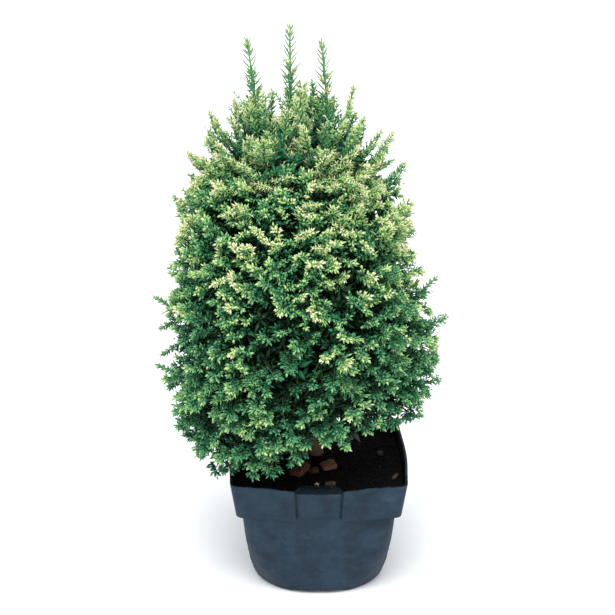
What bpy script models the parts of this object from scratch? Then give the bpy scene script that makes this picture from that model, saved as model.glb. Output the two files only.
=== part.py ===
"""Potted dwarf Lawson cypress: a square nursery pot of soil, and a dense ovoid crown on one trunk.

Metres, +Z up. The origin is the centre of the pot's flat underside. +X is to the right and -Y is
towards whoever looks at the front. The trunk runs up through the foliage, two leaders fork from it,
and masses of foliage stand round them in four tiers, under three slender plumes.
"""
import math
import random

import bmesh
import bpy
from mathutils import Quaternion, Vector, noise

TOUCH_GAP = 0.0003

# Pot: a square lip, a raised band under it, and a body that turns round towards its foot
POT_HEIGHT = 0.110
POT_WALL = 0.0018
POT_FLOOR = 0.0022
LIP_HALF = 0.075
LIP_CORNER = 0.0055
LIP_SAG = 0.003
SIDE_BULGE = 0.004
BAND_BOTTOM = 0.0785
BAND_BOTTOM_HALF = 0.0708
BODY_TOP_HALF = 0.0662
BODY_TOP_CORNER = 0.010
BODY_STEP = 0.0016
FOOT_HALF = 0.0588
FOOT_EDGE = 0.0013
ROUNDING_POWER = 2.4
NOTCH_HALF = 0.0185
NOTCH_SLANT = 0.0018
NOTCH_DEPTH = 0.0026
NOTCH_DROP = 0.0045
NOTCH_DIP = 0.0018
NOTCH_DIP_REACH = math.radians(17.0)
SHELF_INNER = 0.0625
SHELF_RISE = 0.002
BODY_LEVELS = (0.0013, 0.014, 0.034, 0.057)

# Drain pockets under the foot, and the hole in each
POCKET_HALF = 0.024
POCKET_START = 0.038
POCKET_HEIGHT = 0.0036
DRAIN_RADIUS = 0.0045
DRAIN_AT = 0.047
INSIDE_FLOOR = POT_FLOOR + POCKET_HEIGHT

# Soil
SOIL_EDGE_TOP = 0.1012
SOIL_DOME = 0.0038
SOIL_BUMP = 0.0008
SOIL_CLEARANCE = 0.0006
SOIL_RINGS = (0.92, 0.62)
SOIL_GRAIN = 70.0
SOIL_FLAT = 0.0167

# Trunk and leaders: the stations are (x, y, z, radius)
FOOT_RADIUS = 0.0088
FOOT_LOBES = 5
LOBE_DEPTH = 0.14
LOBE_FADE = 1.3
LOBED_RINGS = 3
TRUNK_STATIONS = (
    (-0.002, 0.003, 0.1053, FOOT_RADIUS),
    (-0.003, 0.003, 0.112, 0.0066),
    (-0.006, 0.002, 0.140, 0.0056),
    (-0.013, 0.001, 0.220, 0.0047),
    (-0.020, 0.000, 0.310, 0.0036),
    (-0.024, 0.000, 0.402, 0.0022),
)
# The leaders fork off at a height and azimuth of the trunk, then pass through their stations
LEADER_FORKS = {"leader_left": (0.248, 172.0, 0.0029), "leader_right": (0.262, 8.0, 0.0027)}
LEADER_STATIONS = {
    "leader_left": (
        (-0.033, 0.004, 0.290, 0.0027),
        (-0.040, 0.003, 0.335, 0.0023),
        (-0.050, -0.001, 0.396, 0.0017),
    ),
    "leader_right": (
        (-0.002, 0.004, 0.296, 0.0025),
        (0.007, 0.002, 0.340, 0.0021),
        (0.0095, -0.003, 0.392, 0.0016),
    ),
}
FORK_OUT = 0.0055
FORK_UP = 0.008
TRUNK_SIDES = 12
LIMB_SIDES = 7
TRUNK_STEP = 0.022

# Outline of the crown: the rows are (height, x of the middle, radius to the tips)
CROWN_ROWS = (
    (0.116, -0.012, 0.082),
    (0.134, -0.016, 0.104),
    (0.160, -0.018, 0.110),
    (0.198, -0.019, 0.118),
    (0.245, -0.022, 0.118),
    (0.292, -0.022, 0.105),
    (0.340, -0.022, 0.097),
    (0.380, -0.021, 0.083),
    (0.408, -0.022, 0.062),
    (0.432, -0.024, 0.028),
)

# Tiers of foliage: (name, height of the middle, distance from the axis, count, first azimuth)
TIERS = (
    ("skirt", 0.164, 0.066, 5, -90.0),
    ("belly", 0.234, 0.069, 5, -54.0),
    ("shoulder", 0.304, 0.058, 5, -90.0),
    ("neck", 0.368, 0.042, 5, -54.0),
)
# Tips of the long shoots that stand out of the outline, seen from the front: (x, y, z)
LONG_SHOOTS = (
    (-0.092, -0.010, 0.424),
    (0.034, 0.006, 0.438),
    (0.064, 0.000, 0.399),
    (-0.112, 0.004, 0.386),
    (0.077, -0.004, 0.372),
    (-0.123, -0.004, 0.345),
    (0.103, 0.004, 0.272),
    (-0.143, 0.000, 0.255),
    (0.112, 0.000, 0.236),
    (0.108, -0.004, 0.181),
    (-0.143, -0.004, 0.194),
    (-0.130, 0.004, 0.148),
)
# Plumes, each on the tip of its limb: (name, limb, tip x, y, z)
PLUMES = (
    ("plume_left", "leader_left", -0.061, -0.001, 0.481),
    ("plume_middle", "trunk", -0.0245, 0.000, 0.4895),
    ("plume_right", "leader_right", 0.003, -0.004, 0.478),
)
PLUME_STEM = ((0.0, 0.0016), (0.6, 0.0012), (1.0, 0.0004))
PLUME_SIDES = 5
PLUME_REACH_LOW = 0.019
PLUME_REACH_HIGH = 0.007
PLUME_BLADES = 10
PLUME_FIRST_BLADE = 0.10
PLUME_LAST_BLADE = 0.92
PLUME_BLADE_SPREAD = 0.72
PLUME_BLADE_SLIMNESS = 0.5
PLUME_ROOT_SINK = 0.0008

# Foliage masses: the inset of a core from the tips, and its gaps to its neighbours and the trunk
CORE_INSET = 0.020
CORE_TOP = 0.396
CORE_NEIGHBOUR_MARGIN = 0.0022
CORE_TRUNK_MARGIN = 0.0125
CORE_SEGMENTS = 16
CORE_STEP = 0.027
CORE_RIPPLE = 0.15
RIPPLE_SCALE = 45.0
LEADER_CLEARANCE = 0.0012
LEADER_OVERRUN = 0.012
SPACE_MARGIN = 0.0007
LIMB_MARGIN = 0.0008
MARCH_STEP = 0.0015
SPRAY_TRIES = 90
SPRAYS_PER_MASS = 11
SPRAY_SPACING = 0.018
SPRAY_LENGTH = 0.033
SPRAY_WIDTH = 0.028
SPRAY_TEETH = 2
SPRAY_SWELL = 0.0008
SPRAY_RIDGE = 0.3
SHOOT_LENGTH = 0.042
SHOOT_WIDTH = 0.019
SMALLER_SPRAY = 0.75
TWIG_RADII = (0.0015, 0.0011)
STEM_RADIUS = 0.0021
STEM_TIP_RADIUS = 0.0015
STEM_DROP = 0.012
STEM_SIDES = 6
# Pitch of the sprays by height: drooping low down, upright near the top
PITCH_ROWS = ((0.12, -50.0), (0.19, -34.0), (0.25, -10.0), (0.31, 28.0), (0.37, 52.0), (0.43, 72.0))
PITCH_SPREAD = 18.0
SWING = 48.0
ROLL = 32.0
GOLDEN_ANGLE = math.pi * (3.0 - math.sqrt(5.0))
SEED = 20


def between(rows, key, column):
    """Value of a column at a key, on straight runs between rows that rise by their first value."""
    if key <= rows[0][0]:
        return rows[0][column]
    for low, high in zip(rows, rows[1:]):
        if key <= high[0]:
            share = (key - low[0]) / (high[0] - low[0])
            return low[column] + (high[column] - low[column]) * share
    return rows[-1][column]


def material(name, colour, roughness):
    made = bpy.data.materials.new(name)
    made.use_nodes = True
    shader = made.node_tree.nodes["Principled BSDF"]
    shader.inputs["Base Color"].default_value = (*colour, 1.0)
    shader.inputs["Roughness"].default_value = roughness
    shader.inputs["Metallic"].default_value = 0.0
    return made


def object_from(name, bm, finish, smooth_angle=None):
    """New object from a bmesh, with its faces turned outwards."""
    bmesh.ops.recalc_face_normals(bm, faces=bm.faces)
    mesh = bpy.data.meshes.new(name)
    bm.to_mesh(mesh)
    bm.free()
    mesh.materials.append(finish)
    if smooth_angle is not None:
        mesh.shade_smooth()
        mesh.set_sharp_from_angle(angle=math.radians(smooth_angle))
    made = bpy.data.objects.new(name, mesh)
    bpy.context.collection.objects.link(made)
    return made


def closed_ring(bm, points):
    """Closed loop of edges through the points."""
    verts = [bm.verts.new(p) for p in points]
    return [bm.edges.new((a, b)) for a, b in zip(verts, verts[1:] + verts[:1])]


def loft(rings):
    """Closed skin over rings of equal counts, with flat caps.

    Quads are split on their short diagonal, so two skins that lie close keep their gap.
    """
    bm = bmesh.new()
    loops = [closed_ring(bm, ring) for ring in rings]
    for low, high in zip(loops, loops[1:]):
        bmesh.ops.bridge_loops(bm, edges=low + high)
    bmesh.ops.triangulate(bm, faces=bm.faces, quad_method="SHORT_EDGE")
    for end in (loops[0], loops[-1]):
        bmesh.ops.contextual_create(bm, geom=end)
    return bm


# Pot


def side_angles():
    """Azimuths of a ring's points: the same pattern on each of the four sides."""
    inner = math.degrees(math.atan2(NOTCH_HALF, LIP_HALF))
    outer = math.degrees(math.atan2(NOTCH_HALF + NOTCH_SLANT, LIP_HALF))
    half = [inner, outer, 28.0, 39.0, 42.6, 44.3]
    side = [-a for a in reversed(half)] + [0.0] + half
    return [math.radians(turn + a) for turn in (-90.0, 0.0, 90.0, 180.0) for a in side]


def from_mid_side(azimuth):
    """Angle from the middle of the nearest side, from -45 to 45 degrees, in radians."""
    quarter = math.pi / 2
    return (azimuth + quarter / 2) % quarter - quarter / 2


def on_notched_side(azimuth):
    """Whether an azimuth points at the front or the back, whose lip has a notch in its middle."""
    return abs(math.sin(azimuth)) > math.sin(math.pi / 4)


def in_notch(azimuth):
    reach = math.atan2(NOTCH_HALF + NOTCH_SLANT / 2, LIP_HALF)
    return on_notched_side(azimuth) and abs(from_mid_side(azimuth)) < reach


def square_radius(azimuth, half, corner, bulge):
    """Distance from the axis to a rounded square whose sides bow out."""
    off = abs(from_mid_side(azimuth))
    across, along = math.cos(off), math.sin(off)
    radius = half / across
    flat = half - corner
    if along * radius > flat:
        toward = flat * (across + along)
        radius = toward + math.sqrt(max(toward * toward - 2 * flat * flat + corner * corner, 0.0))
    return radius + bulge * (1.0 - math.tan(off) ** 2) * math.cos(off)


def body_radius(azimuth, z):
    """Outer radius of the body under the band, from a round foot to a nearly square top."""
    share = min(max(z / BAND_BOTTOM, 0.0), 1.0)
    half = FOOT_HALF + (BODY_TOP_HALF - FOOT_HALF) * share
    corner = BODY_TOP_CORNER + (half - BODY_TOP_CORNER) * (1.0 - share) ** ROUNDING_POWER
    return square_radius(azimuth, half, corner, SIDE_BULGE * 0.5 * share)


def band_radius(azimuth, share):
    """Outer radius of the band, from its bottom (0) to the lip (1), set back at the notches."""
    half = BAND_BOTTOM_HALF + (LIP_HALF - BAND_BOTTOM_HALF) * share
    radius = square_radius(azimuth, half, LIP_CORNER, SIDE_BULGE * (0.6 + 0.4 * share))
    return radius - NOTCH_DEPTH if in_notch(azimuth) else radius


def lip_height(azimuth):
    off = abs(from_mid_side(azimuth))
    height = POT_HEIGHT - LIP_SAG * (1.0 - math.tan(off) ** 2)
    if in_notch(azimuth):
        return height - NOTCH_DROP
    dipped = on_notched_side(azimuth) and off < NOTCH_DIP_REACH
    return height - NOTCH_DIP if dipped else height


def inner_radius(azimuth, z, gap=0.0):
    """Radius of the pot's inside. A solid shelf backs each notch, down to the band's bottom."""
    if z >= BAND_BOTTOM:
        share = min((z - BAND_BOTTOM) / (POT_HEIGHT - BAND_BOTTOM), 1.0)
        if in_notch(azimuth):
            return SHELF_INNER / math.cos(from_mid_side(azimuth)) - gap
        return band_radius(azimuth, share) - POT_WALL - gap
    return body_radius(azimuth, z) - POT_WALL - gap


def ring_at(radius_of, height_of):
    points = []
    for azimuth in side_angles():
        r = radius_of(azimuth)
        points.append((r * math.cos(azimuth), r * math.sin(azimuth), height_of(azimuth)))
    return points


def build_pot(finish):
    rings = [ring_at(lambda a: body_radius(a, 0.0) - FOOT_EDGE, lambda a: 0.0)]
    for level in BODY_LEVELS:
        rings.append(ring_at(lambda a: body_radius(a, level), lambda a: level))
    below = BAND_BOTTOM - BODY_STEP
    rings.append(ring_at(lambda a: body_radius(a, below), lambda a: below))
    rings.append(ring_at(lambda a: band_radius(a, 0.0), lambda a: BAND_BOTTOM))
    rings.append(ring_at(lambda a: band_radius(a, 1.0), lip_height))
    rings.append(
        ring_at(
            lambda a: inner_radius(a, POT_HEIGHT),
            lambda a: lip_height(a) + (SHELF_RISE if in_notch(a) else 0.0),
        )
    )
    inside = BAND_BOTTOM + POT_WALL
    rings.append(ring_at(lambda a: inner_radius(a, inside), lambda a: inside))
    for level in (BAND_BOTTOM - BODY_STEP, *reversed(BODY_LEVELS[2:]), INSIDE_FLOOR):
        rings.append(ring_at(lambda a: inner_radius(a, level), lambda a: level))
    pot = object_from("pot", loft(rings), finish, smooth_angle=32)
    for index in range(4):
        turn = math.radians(90.0 * index - 90.0)
        pot_cut(pot, pocket_cutter(f"pocket_{index + 1}", turn))
        pot_cut(pot, drain_cutter(f"drain_{index + 1}", turn))
    return pot


def pot_cut(pot, cutter):
    cutter.hide_render = True
    cutter.display_type = "WIRE"
    modifier = pot.modifiers.new(f"cut_{cutter.name}", "BOOLEAN")
    modifier.operation = "DIFFERENCE"
    modifier.object = cutter


def pocket_cutter(name, turn):
    """Block that opens one drain pocket under the foot, out to its edge."""
    length = FOOT_HALF + 0.02 - POCKET_START
    bm = bmesh.new()
    bmesh.ops.create_cube(bm, size=1.0)
    bmesh.ops.scale(bm, vec=(length, 2 * POCKET_HALF, 2 * POCKET_HEIGHT), verts=bm.verts)
    return placed_cutter(name, bm, turn, POCKET_START + length / 2)


def drain_cutter(name, turn):
    bm = bmesh.new()
    depth = 4 * (POCKET_HEIGHT + POT_FLOOR)
    bmesh.ops.create_cone(
        bm, cap_ends=True, segments=10, radius1=DRAIN_RADIUS, radius2=DRAIN_RADIUS, depth=depth
    )
    return placed_cutter(name, bm, turn, DRAIN_AT)


def placed_cutter(name, bm, turn, distance):
    mesh = bpy.data.meshes.new(name)
    bm.to_mesh(mesh)
    bm.free()
    cutter = bpy.data.objects.new(name, mesh)
    cutter.location = (distance * math.cos(turn), distance * math.sin(turn), 0.0)
    cutter.rotation_euler = (0.0, 0.0, turn)
    bpy.context.collection.objects.link(cutter)
    return cutter


# Soil


def soil_height(x, y):
    """Height of the soil: a low dome, flat round the trunk's foot, with small bumps."""
    foot = Vector(TRUNK_STATIONS[0][:2])
    off = (Vector((x, y)) - foot).length
    dome = SOIL_DOME * max(0.0, 1.0 - (off / LIP_HALF) ** 2)
    level = SOIL_EDGE_TOP + dome
    if off < SOIL_FLAT:
        return SOIL_EDGE_TOP + SOIL_DOME
    return level + SOIL_BUMP * noise.noise(Vector((x, y, 0.0)) * SOIL_GRAIN)


def build_soil(finish):
    """Soil that fills the pot up to just under its lip."""
    rings = []
    inside = BAND_BOTTOM + POT_WALL
    for level in (INSIDE_FLOOR, *BODY_LEVELS[2:], BAND_BOTTOM - BODY_STEP, inside):
        raised = level + TOUCH_GAP if level in (INSIDE_FLOOR, inside) else level
        rings.append(ring_at(lambda a: inner_radius(a, level, SOIL_CLEARANCE), lambda a: raised))
    edge = ring_at(lambda a: inner_radius(a, SOIL_EDGE_TOP, SOIL_CLEARANCE), lambda a: SOIL_EDGE_TOP)
    rings.append(edge)
    for share in SOIL_RINGS:
        ring = [(x * share, y * share) for x, y, _ in edge]
        rings.append([(x, y, soil_height(x, y)) for x, y in ring])
    centre = Vector((*TRUNK_STATIONS[0][:2], SOIL_EDGE_TOP + SOIL_DOME))
    round_foot = []
    for azimuth in side_angles():
        around = Vector((math.cos(azimuth), math.sin(azimuth), 0.0)) * SOIL_FLAT
        round_foot.append(centre + around)
    rings.append(round_foot)
    return object_from("soil", loft(rings), finish)


# Limbs


def station_path(stations, step):
    """Points and radii along a limb, on a smooth curve through its stations."""
    points = [Vector(s[:3]) for s in stations]
    radii = [s[3] for s in stations]
    path = []
    for i in range(len(points) - 1):
        before = points[max(i - 1, 0)]
        after = points[min(i + 2, len(points) - 1)]
        p1, p2 = points[i], points[i + 1]
        count = max(1, round((p2 - p1).length / step))
        for k in range(count):
            t = k / count
            tangent_1, tangent_2 = (p2 - before) / 2, (after - p1) / 2
            h1 = 2 * t**3 - 3 * t**2 + 1
            h2 = t**3 - 2 * t**2 + t
            h3 = -2 * t**3 + 3 * t**2
            h4 = t**3 - t**2
            place = p1 * h1 + tangent_1 * h2 + p2 * h3 + tangent_2 * h4
            path.append((place, radii[i] + (radii[i + 1] - radii[i]) * t))
    path.append((points[-1], radii[-1]))
    return path


def limb_rings(path, sides, extra=0.0, cut_normals=(None, None)):
    """Rings round a limb's path. A cut normal turns the first or last ring into that plane."""
    rings = []
    last = len(path) - 1
    for i, (place, radius) in enumerate(path):
        ahead = (path[min(i + 1, last)][0] - path[max(i - 1, 0)][0]).normalized()
        side = ahead.cross(Vector((0.0, 1.0, 0.03))).normalized()
        front = side.cross(ahead).normalized()
        normal = cut_normals[0] if i == 0 else cut_normals[1] if i == last else None
        ring = []
        for k in range(sides):
            angle = 2 * math.pi * k / sides
            point = place + (side * math.cos(angle) + front * math.sin(angle)) * (radius + extra)
            if normal is not None:
                point += ahead * ((place - point).dot(normal) / ahead.dot(normal))
            ring.append(point)
        rings.append(ring)
    return rings


def build_trunk(finish):
    """Trunk from a flat cut on the soil, with a lobed root flare, up to the middle plume."""
    path = station_path(TRUNK_STATIONS, TRUNK_STEP)
    up = Vector((0.0, 0.0, 1.0))
    rings = limb_rings(path, TRUNK_SIDES, cut_normals=(up, up))
    for index in range(LOBED_RINGS):
        centre = path[index][0]
        depth = LOBE_DEPTH * math.exp(-index * LOBE_FADE)
        for k, point in enumerate(rings[index]):
            arm = point - centre
            swell = 1.0 + depth * math.cos(FOOT_LOBES * math.atan2(arm.y, arm.x))
            rings[index][k] = centre + arm * swell
    return object_from("trunk", loft(rings), finish, smooth_angle=60)


def leader_stations(name):
    """Stations of a leader, from its fork 0.3 mm off the trunk's bark."""
    z, azimuth, radius = LEADER_FORKS[name]
    turn = math.radians(azimuth)
    away = Vector((math.cos(turn), math.sin(turn), 0.0))
    fork = trunk_place(z) + away * (trunk_radius(z) + TOUCH_GAP)
    elbow = fork + away * FORK_OUT + Vector((0.0, 0.0, FORK_UP))
    return ((*fork, radius), (*elbow, radius), *LEADER_STATIONS[name])


def bark_normal(point):
    """Direction straight out of the trunk's bark towards a point near it."""
    grain = (trunk_place(point.z + 0.01) - trunk_place(point.z - 0.01)).normalized()
    away = point - trunk_place(point.z)
    return (away - grain * away.dot(grain)).normalized()


def build_leader(name, finish):
    """Leader that forks from the trunk and runs up to the foot of its plume."""
    path = station_path(leader_stations(name), TRUNK_STEP)
    up = Vector((0.0, 0.0, 1.0))
    rings = limb_rings(path, LIMB_SIDES, cut_normals=(bark_normal(path[0][0]), up))
    return object_from(name, loft(rings), finish, smooth_angle=60)


def trunk_place(z):
    """Middle of the trunk at a height."""
    rows = [(s[2], s[0], s[1]) for s in TRUNK_STATIONS]
    return Vector((between(rows, z, 1), between(rows, z, 2), z))


def trunk_radius(z):
    return between([(s[2], s[3]) for s in TRUNK_STATIONS], z, 1)


# The space that each mass of foliage keeps to


class Mass:
    """One mass: its name, its middle, the way it faces from the axis, and its stem's start."""

    def __init__(self, name, middle, outward):
        self.name = name
        self.middle = middle
        self.outward = outward
        place = trunk_place(middle.z - STEM_DROP)
        self.stem_way = ((middle - place) * Vector((1.0, 1.0, 0.0))).normalized()
        self.stem_start = place + self.stem_way * (trunk_radius(place.z) + TOUCH_GAP)


def crown_axis(z):
    return Vector((between(CROWN_ROWS, z, 1), 0.0, z))


def lay_out_masses():
    masses = []
    for tier, z, distance, count, first in TIERS:
        for index in range(count):
            azimuth = math.radians(first + 360.0 * index / count)
            outward = Vector((math.cos(azimuth), math.sin(azimuth), 0.0))
            middle = crown_axis(z) + outward * distance
            masses.append(Mass(f"foliage_{tier}_{index + 1}", middle, outward))
    return masses


def segment_distance(point, start, end):
    along = end - start
    share = min(max((point - start).dot(along) / along.length_squared, 0.0), 1.0)
    return (point - (start + along * share)).length, share


def outline_depth(point):
    """How far inside the crown's outline a point lies. It is negative outside."""
    low, high = CROWN_ROWS[0][0], CROWN_ROWS[-1][0]
    off_axis = (point - crown_axis(point.z)).length
    depth = between(CROWN_ROWS, point.z, 2) - off_axis
    return min(depth, point.z - low, high - point.z)


def plume_ends(limb, tip):
    """Foot of a plume, 0.3 mm above the tip of its limb, and its tip."""
    stations = TRUNK_STATIONS if limb == "trunk" else LEADER_STATIONS[limb]
    return Vector(stations[-1][:3]) + Vector((0.0, 0.0, TOUCH_GAP)), Vector(tip)


def plume_reach(share):
    return PLUME_REACH_LOW + (PLUME_REACH_HIGH - PLUME_REACH_LOW) * share


def plume_depth(point):
    """How far inside the nearest plume's space a point lies. It is negative outside."""
    deepest = -1.0
    for _, limb, *tip in PLUMES:
        foot, tip = plume_ends(limb, tip)
        distance, share = segment_distance(point, foot, tip)
        deepest = max(deepest, min(plume_reach(share) - distance, point.z - foot.z))
    return deepest


def neighbour_depth(mass, masses, point):
    """Distance from a point to the nearest plane midway between the mass and another."""
    depth = 1.0
    for other in masses:
        if other is not mass:
            apart = other.middle - mass.middle
            midway = (mass.middle + other.middle) / 2
            depth = min(depth, (midway - point).dot(apart) / apart.length)
    return depth


def limb_runs(masses):
    """Straight runs (start, end, radius, owner) of the trunk, the leaders and the masses' stems."""
    runs = [(mass.stem_start, mass.middle, STEM_RADIUS, mass) for mass in masses]
    for stations in (TRUNK_STATIONS, *(leader_stations(name) for name in LEADER_FORKS)):
        path = station_path(stations, TRUNK_STEP)
        for (start, radius), (end, _) in zip(path, path[1:]):
            runs.append((start, end, radius, None))
    return runs


def limb_depth(point, runs, mass):
    """Distance from a point to the nearest limb's skin, leaving out the mass's own stem."""
    nearest = 1.0
    for start, end, radius, owner in runs:
        if owner is not mass:
            nearest = min(nearest, segment_distance(point, start, end)[0] - radius)
    return nearest


def in_space(point, mass, masses, runs):
    """True where a spray of the mass may be, apart from the outline."""
    return (
        neighbour_depth(mass, masses, point) > SPACE_MARGIN
        and plume_depth(point) < -SPACE_MARGIN
        and limb_depth(point, runs, mass) > LIMB_MARGIN
    )


def core_holds(point, mass, masses):
    """True where a spray's root is sunk well into the mass's core."""
    sunk = 3 * SPRAY_SWELL
    return (
        outline_depth(point) > CORE_INSET + sunk
        and point.z < CORE_TOP - sunk
        and neighbour_depth(mass, masses, point) > CORE_NEIGHBOUR_MARGIN + sunk
        and (point - trunk_place(mass.middle.z)).dot(mass.outward) > CORE_TRUNK_MARGIN + sunk
    )


def march(start, way, fits):
    """Distance along a way for which every point fits."""
    distance = 0.0
    while distance < 0.2 and fits(start + way * (distance + MARCH_STEP)):
        distance += MARCH_STEP
    return distance


# Parts of a mass


def core_ring(z):
    """Ring of the crown's outline at a height, set in from the tips."""
    centre, radius = crown_axis(z), between(CROWN_ROWS, z, 2) - CORE_INSET
    turns = [math.tau * k / CORE_SEGMENTS for k in range(CORE_SEGMENTS)]
    return [centre + Vector((math.cos(t), math.sin(t), 0.0)) * radius for t in turns]


def cut_by_plane(bm, place, normal):
    """Keep what lies behind a plane, and close the cut."""
    everything = bm.verts[:] + bm.edges[:] + bm.faces[:]
    cut = bmesh.ops.bisect_plane(
        bm, geom=everything, dist=1e-6, plane_co=place, plane_no=normal, clear_outer=True
    )
    edges = [g for g in cut["geom_cut"] if isinstance(g, bmesh.types.BMEdge)]
    if edges:
        bmesh.ops.contextual_create(bm, geom=edges)


def build_core(mass, masses, finish):
    """Close foliage round the mass's middle: its own share of the crown, short of the tips."""
    low, high = CROWN_ROWS[0][0] + CORE_INSET, CORE_TOP
    count = round((high - low) / CORE_STEP)
    bm = loft([core_ring(low + (high - low) * k / count) for k in range(count + 1)])
    for other in masses:
        if other is not mass:
            apart = (other.middle - mass.middle).normalized()
            midway = (mass.middle + other.middle) / 2
            cut_by_plane(bm, midway - apart * CORE_NEIGHBOUR_MARGIN, apart)
    inner = trunk_place(mass.middle.z) + mass.outward * CORE_TRUNK_MARGIN
    cut_by_plane(bm, inner, -mass.outward)
    for vert in bm.verts:
        ripple = 1.0 - CORE_RIPPLE * (0.5 + 0.5 * noise.noise(vert.co * RIPPLE_SCALE))
        vert.co = mass.middle + (vert.co - mass.middle) * ripple
    bmesh.ops.triangulate(bm, faces=bm.faces)
    return object_from(mass.name, bm, finish)


def tapered_twig(name, start, end, radius_1, radius_2, sides, finish, cut_normal=None):
    rings = limb_rings([(start, radius_1), (end, radius_2)], sides, cut_normals=(cut_normal, None))
    return object_from(name, loft(rings), finish)


def build_stem(mass, finish):
    """Stem from 0.3 mm off the trunk to the mass's middle."""
    name = f"{mass.name}_stem"
    ends = (mass.stem_start, mass.middle, STEM_RADIUS, STEM_TIP_RADIUS)
    return tapered_twig(name, *ends, STEM_SIDES, finish, cut_normal=mass.stem_way)


def blade_outline(length, width, teeth):
    """Outline of a flat spray along +X: a narrow root, pairs of forward teeth, a pointed tip."""
    upper = [(0.0, 0.07 * width)]
    for k in range(teeth):
        share = (k + 1) / (teeth + 1)
        spread = width * (0.56 - 0.2 * share)
        upper.append(((share + 0.16) * length, spread))
        upper.append(((share + 0.07) * length, 0.12 * width))
    lower = [(u, -v) for u, v in reversed(upper)]
    return upper + [(length, 0.0)] + lower


def blade_points(root, way, across, length, width, teeth):
    return [root + way * u + across * v for u, v in blade_outline(length, width, teeth)]


def build_blade(name, points, ridge, normal, finish):
    """Blade that swells from its outline to a ridge point on either face."""
    bm = bmesh.new()
    rim = [bm.verts.new(p) for p in points]
    for rise in (normal * SPRAY_SWELL, -normal * SPRAY_SWELL):
        top = bm.verts.new(ridge + rise)
        for a, b in zip(rim, rim[1:] + rim[:1]):
            bm.faces.new((a, b, top))
    return object_from(name, bm, finish)


def fibonacci_ways(count, spin):
    """Directions spread evenly over a sphere."""
    ways = []
    for i in range(count):
        z = 1.0 - 2.0 * (i + 0.5) / count
        r = math.sqrt(1.0 - z * z)
        angle = GOLDEN_ANGLE * i + spin
        ways.append(Vector((r * math.cos(angle), r * math.sin(angle), z)))
    return ways


def spray_frame(tip, rng):
    """Way and breadth of a spray: swung to a side, pitched by its height, its face turned outwards."""
    out = tip - crown_axis(tip.z)
    azimuth = math.atan2(out.y, out.x) + math.radians(rng.uniform(-SWING, SWING))
    pitch = between(PITCH_ROWS, tip.z, 1) + rng.uniform(-PITCH_SPREAD, PITCH_SPREAD)
    level = Vector((math.cos(azimuth), math.sin(azimuth), 0.0))
    way = level * math.cos(math.radians(pitch)) + Vector((0.0, 0.0, math.sin(math.radians(pitch))))
    across = Quaternion(way, math.radians(rng.uniform(-ROLL, ROLL))) @ way.cross(out).normalized()
    return way, across


def spray_targets(mass, masses, rng):
    """Tips of the mass's sprays: its long shoots, then points where its ways leave the outline."""
    shoots = [(Vector(tip), True) for tip in LONG_SHOOTS if owner_of(Vector(tip), masses) is mass]
    targets = []
    for way in fibonacci_ways(SPRAY_TRIES, rng.uniform(0.0, math.tau)):
        reach = march(
            mass.middle,
            way,
            lambda p: outline_depth(p) > 0.0 and neighbour_depth(mass, masses, p) > SPACE_MARGIN,
        )
        tip = mass.middle + way * reach
        if outline_depth(tip) < 2 * MARCH_STEP:
            targets.append((tip + way * rng.uniform(-0.004, 0.003), False))
    rng.shuffle(targets)
    return shoots + targets


def fitting_blade(tip, way, across, length, width, fits):
    """Root and outline of the largest blade that ends at a tip and fits, or None."""
    for size in (1.0, SMALLER_SPRAY):
        root = tip - way * length * size
        points = blade_points(root, way, across, length * size, width * size, SPRAY_TEETH)
        if all(fits(point) for point in points):
            return root, points
    return None


def grow_sprays(mass, masses, runs, rng, finish):
    """Sprays that stand out of the core to the outline, and on to the long shoots' tips."""
    pieces = []
    tips = []
    for tip, is_shoot in spray_targets(mass, masses, rng):
        if len(tips) == SPRAYS_PER_MASS:
            break
        if any((tip - other).length < SPRAY_SPACING for other in tips):
            continue
        way, across = spray_frame(tip, rng)
        length, width = SPRAY_LENGTH * rng.uniform(0.85, 1.1), SPRAY_WIDTH * rng.uniform(0.85, 1.1)
        if is_shoot:
            way = (tip - mass.middle).normalized()
            across = way.cross(Vector((0.0, 1.0, 0.2))).normalized()
            length, width = SHOOT_LENGTH, SHOOT_WIDTH
        blade = fitting_blade(tip, way, across, length, width, lambda p: in_space(p, mass, masses, runs))
        if blade is None:
            continue
        root, points = blade
        name = f"{mass.name}_spray_{len(tips)}"
        ridge = root.lerp(tip, SPRAY_RIDGE)
        pieces.append(build_blade(name, points, ridge, way.cross(across), finish))
        if not core_holds(root, mass, masses):
            inner = mass.middle.lerp(root, 0.55)
            outer = root.lerp(tip, 0.25)
            pieces.append(tapered_twig(f"{name}_twig", inner, outer, *TWIG_RADII, 3, finish))
        tips.append(tip)
    return pieces


def owner_of(point, masses):
    return min(masses, key=lambda m: (m.middle - point).length)


def union(base, pieces):
    """Join pieces to a base by one Boolean union on a collection, then keep one closed body."""
    group = bpy.data.collections.new(f"{base.name}_pieces")
    bpy.context.scene.collection.children.link(group)
    for piece in pieces:
        bpy.context.collection.objects.unlink(piece)
        group.objects.link(piece)
    modifier = base.modifiers.new("join", "BOOLEAN")
    modifier.operation = "UNION"
    modifier.operand_type = "COLLECTION"
    modifier.collection = group
    modifier.solver = "MANIFOLD"
    apply_modifiers(base)
    for piece in pieces:
        bpy.data.objects.remove(piece)
    bpy.data.collections.remove(group)
    keep_largest(base)


def cut_clear(base, rings_list):
    """Cut fattened limbs out of a core."""
    for index, rings in enumerate(rings_list):
        cutter = object_from(f"{base.name}_cut_{index}", loft(rings), base.data.materials[0])
        modifier = base.modifiers.new("clear", "BOOLEAN")
        modifier.operation = "DIFFERENCE"
        modifier.solver = "MANIFOLD"
        modifier.object = cutter
        apply_modifiers(base)
        bpy.data.objects.remove(cutter)
    keep_largest(base)


def apply_modifiers(target):
    depsgraph = bpy.context.evaluated_depsgraph_get()
    done = bpy.data.meshes.new_from_object(target.evaluated_get(depsgraph))
    target.modifiers.clear()
    target.data = done


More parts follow.
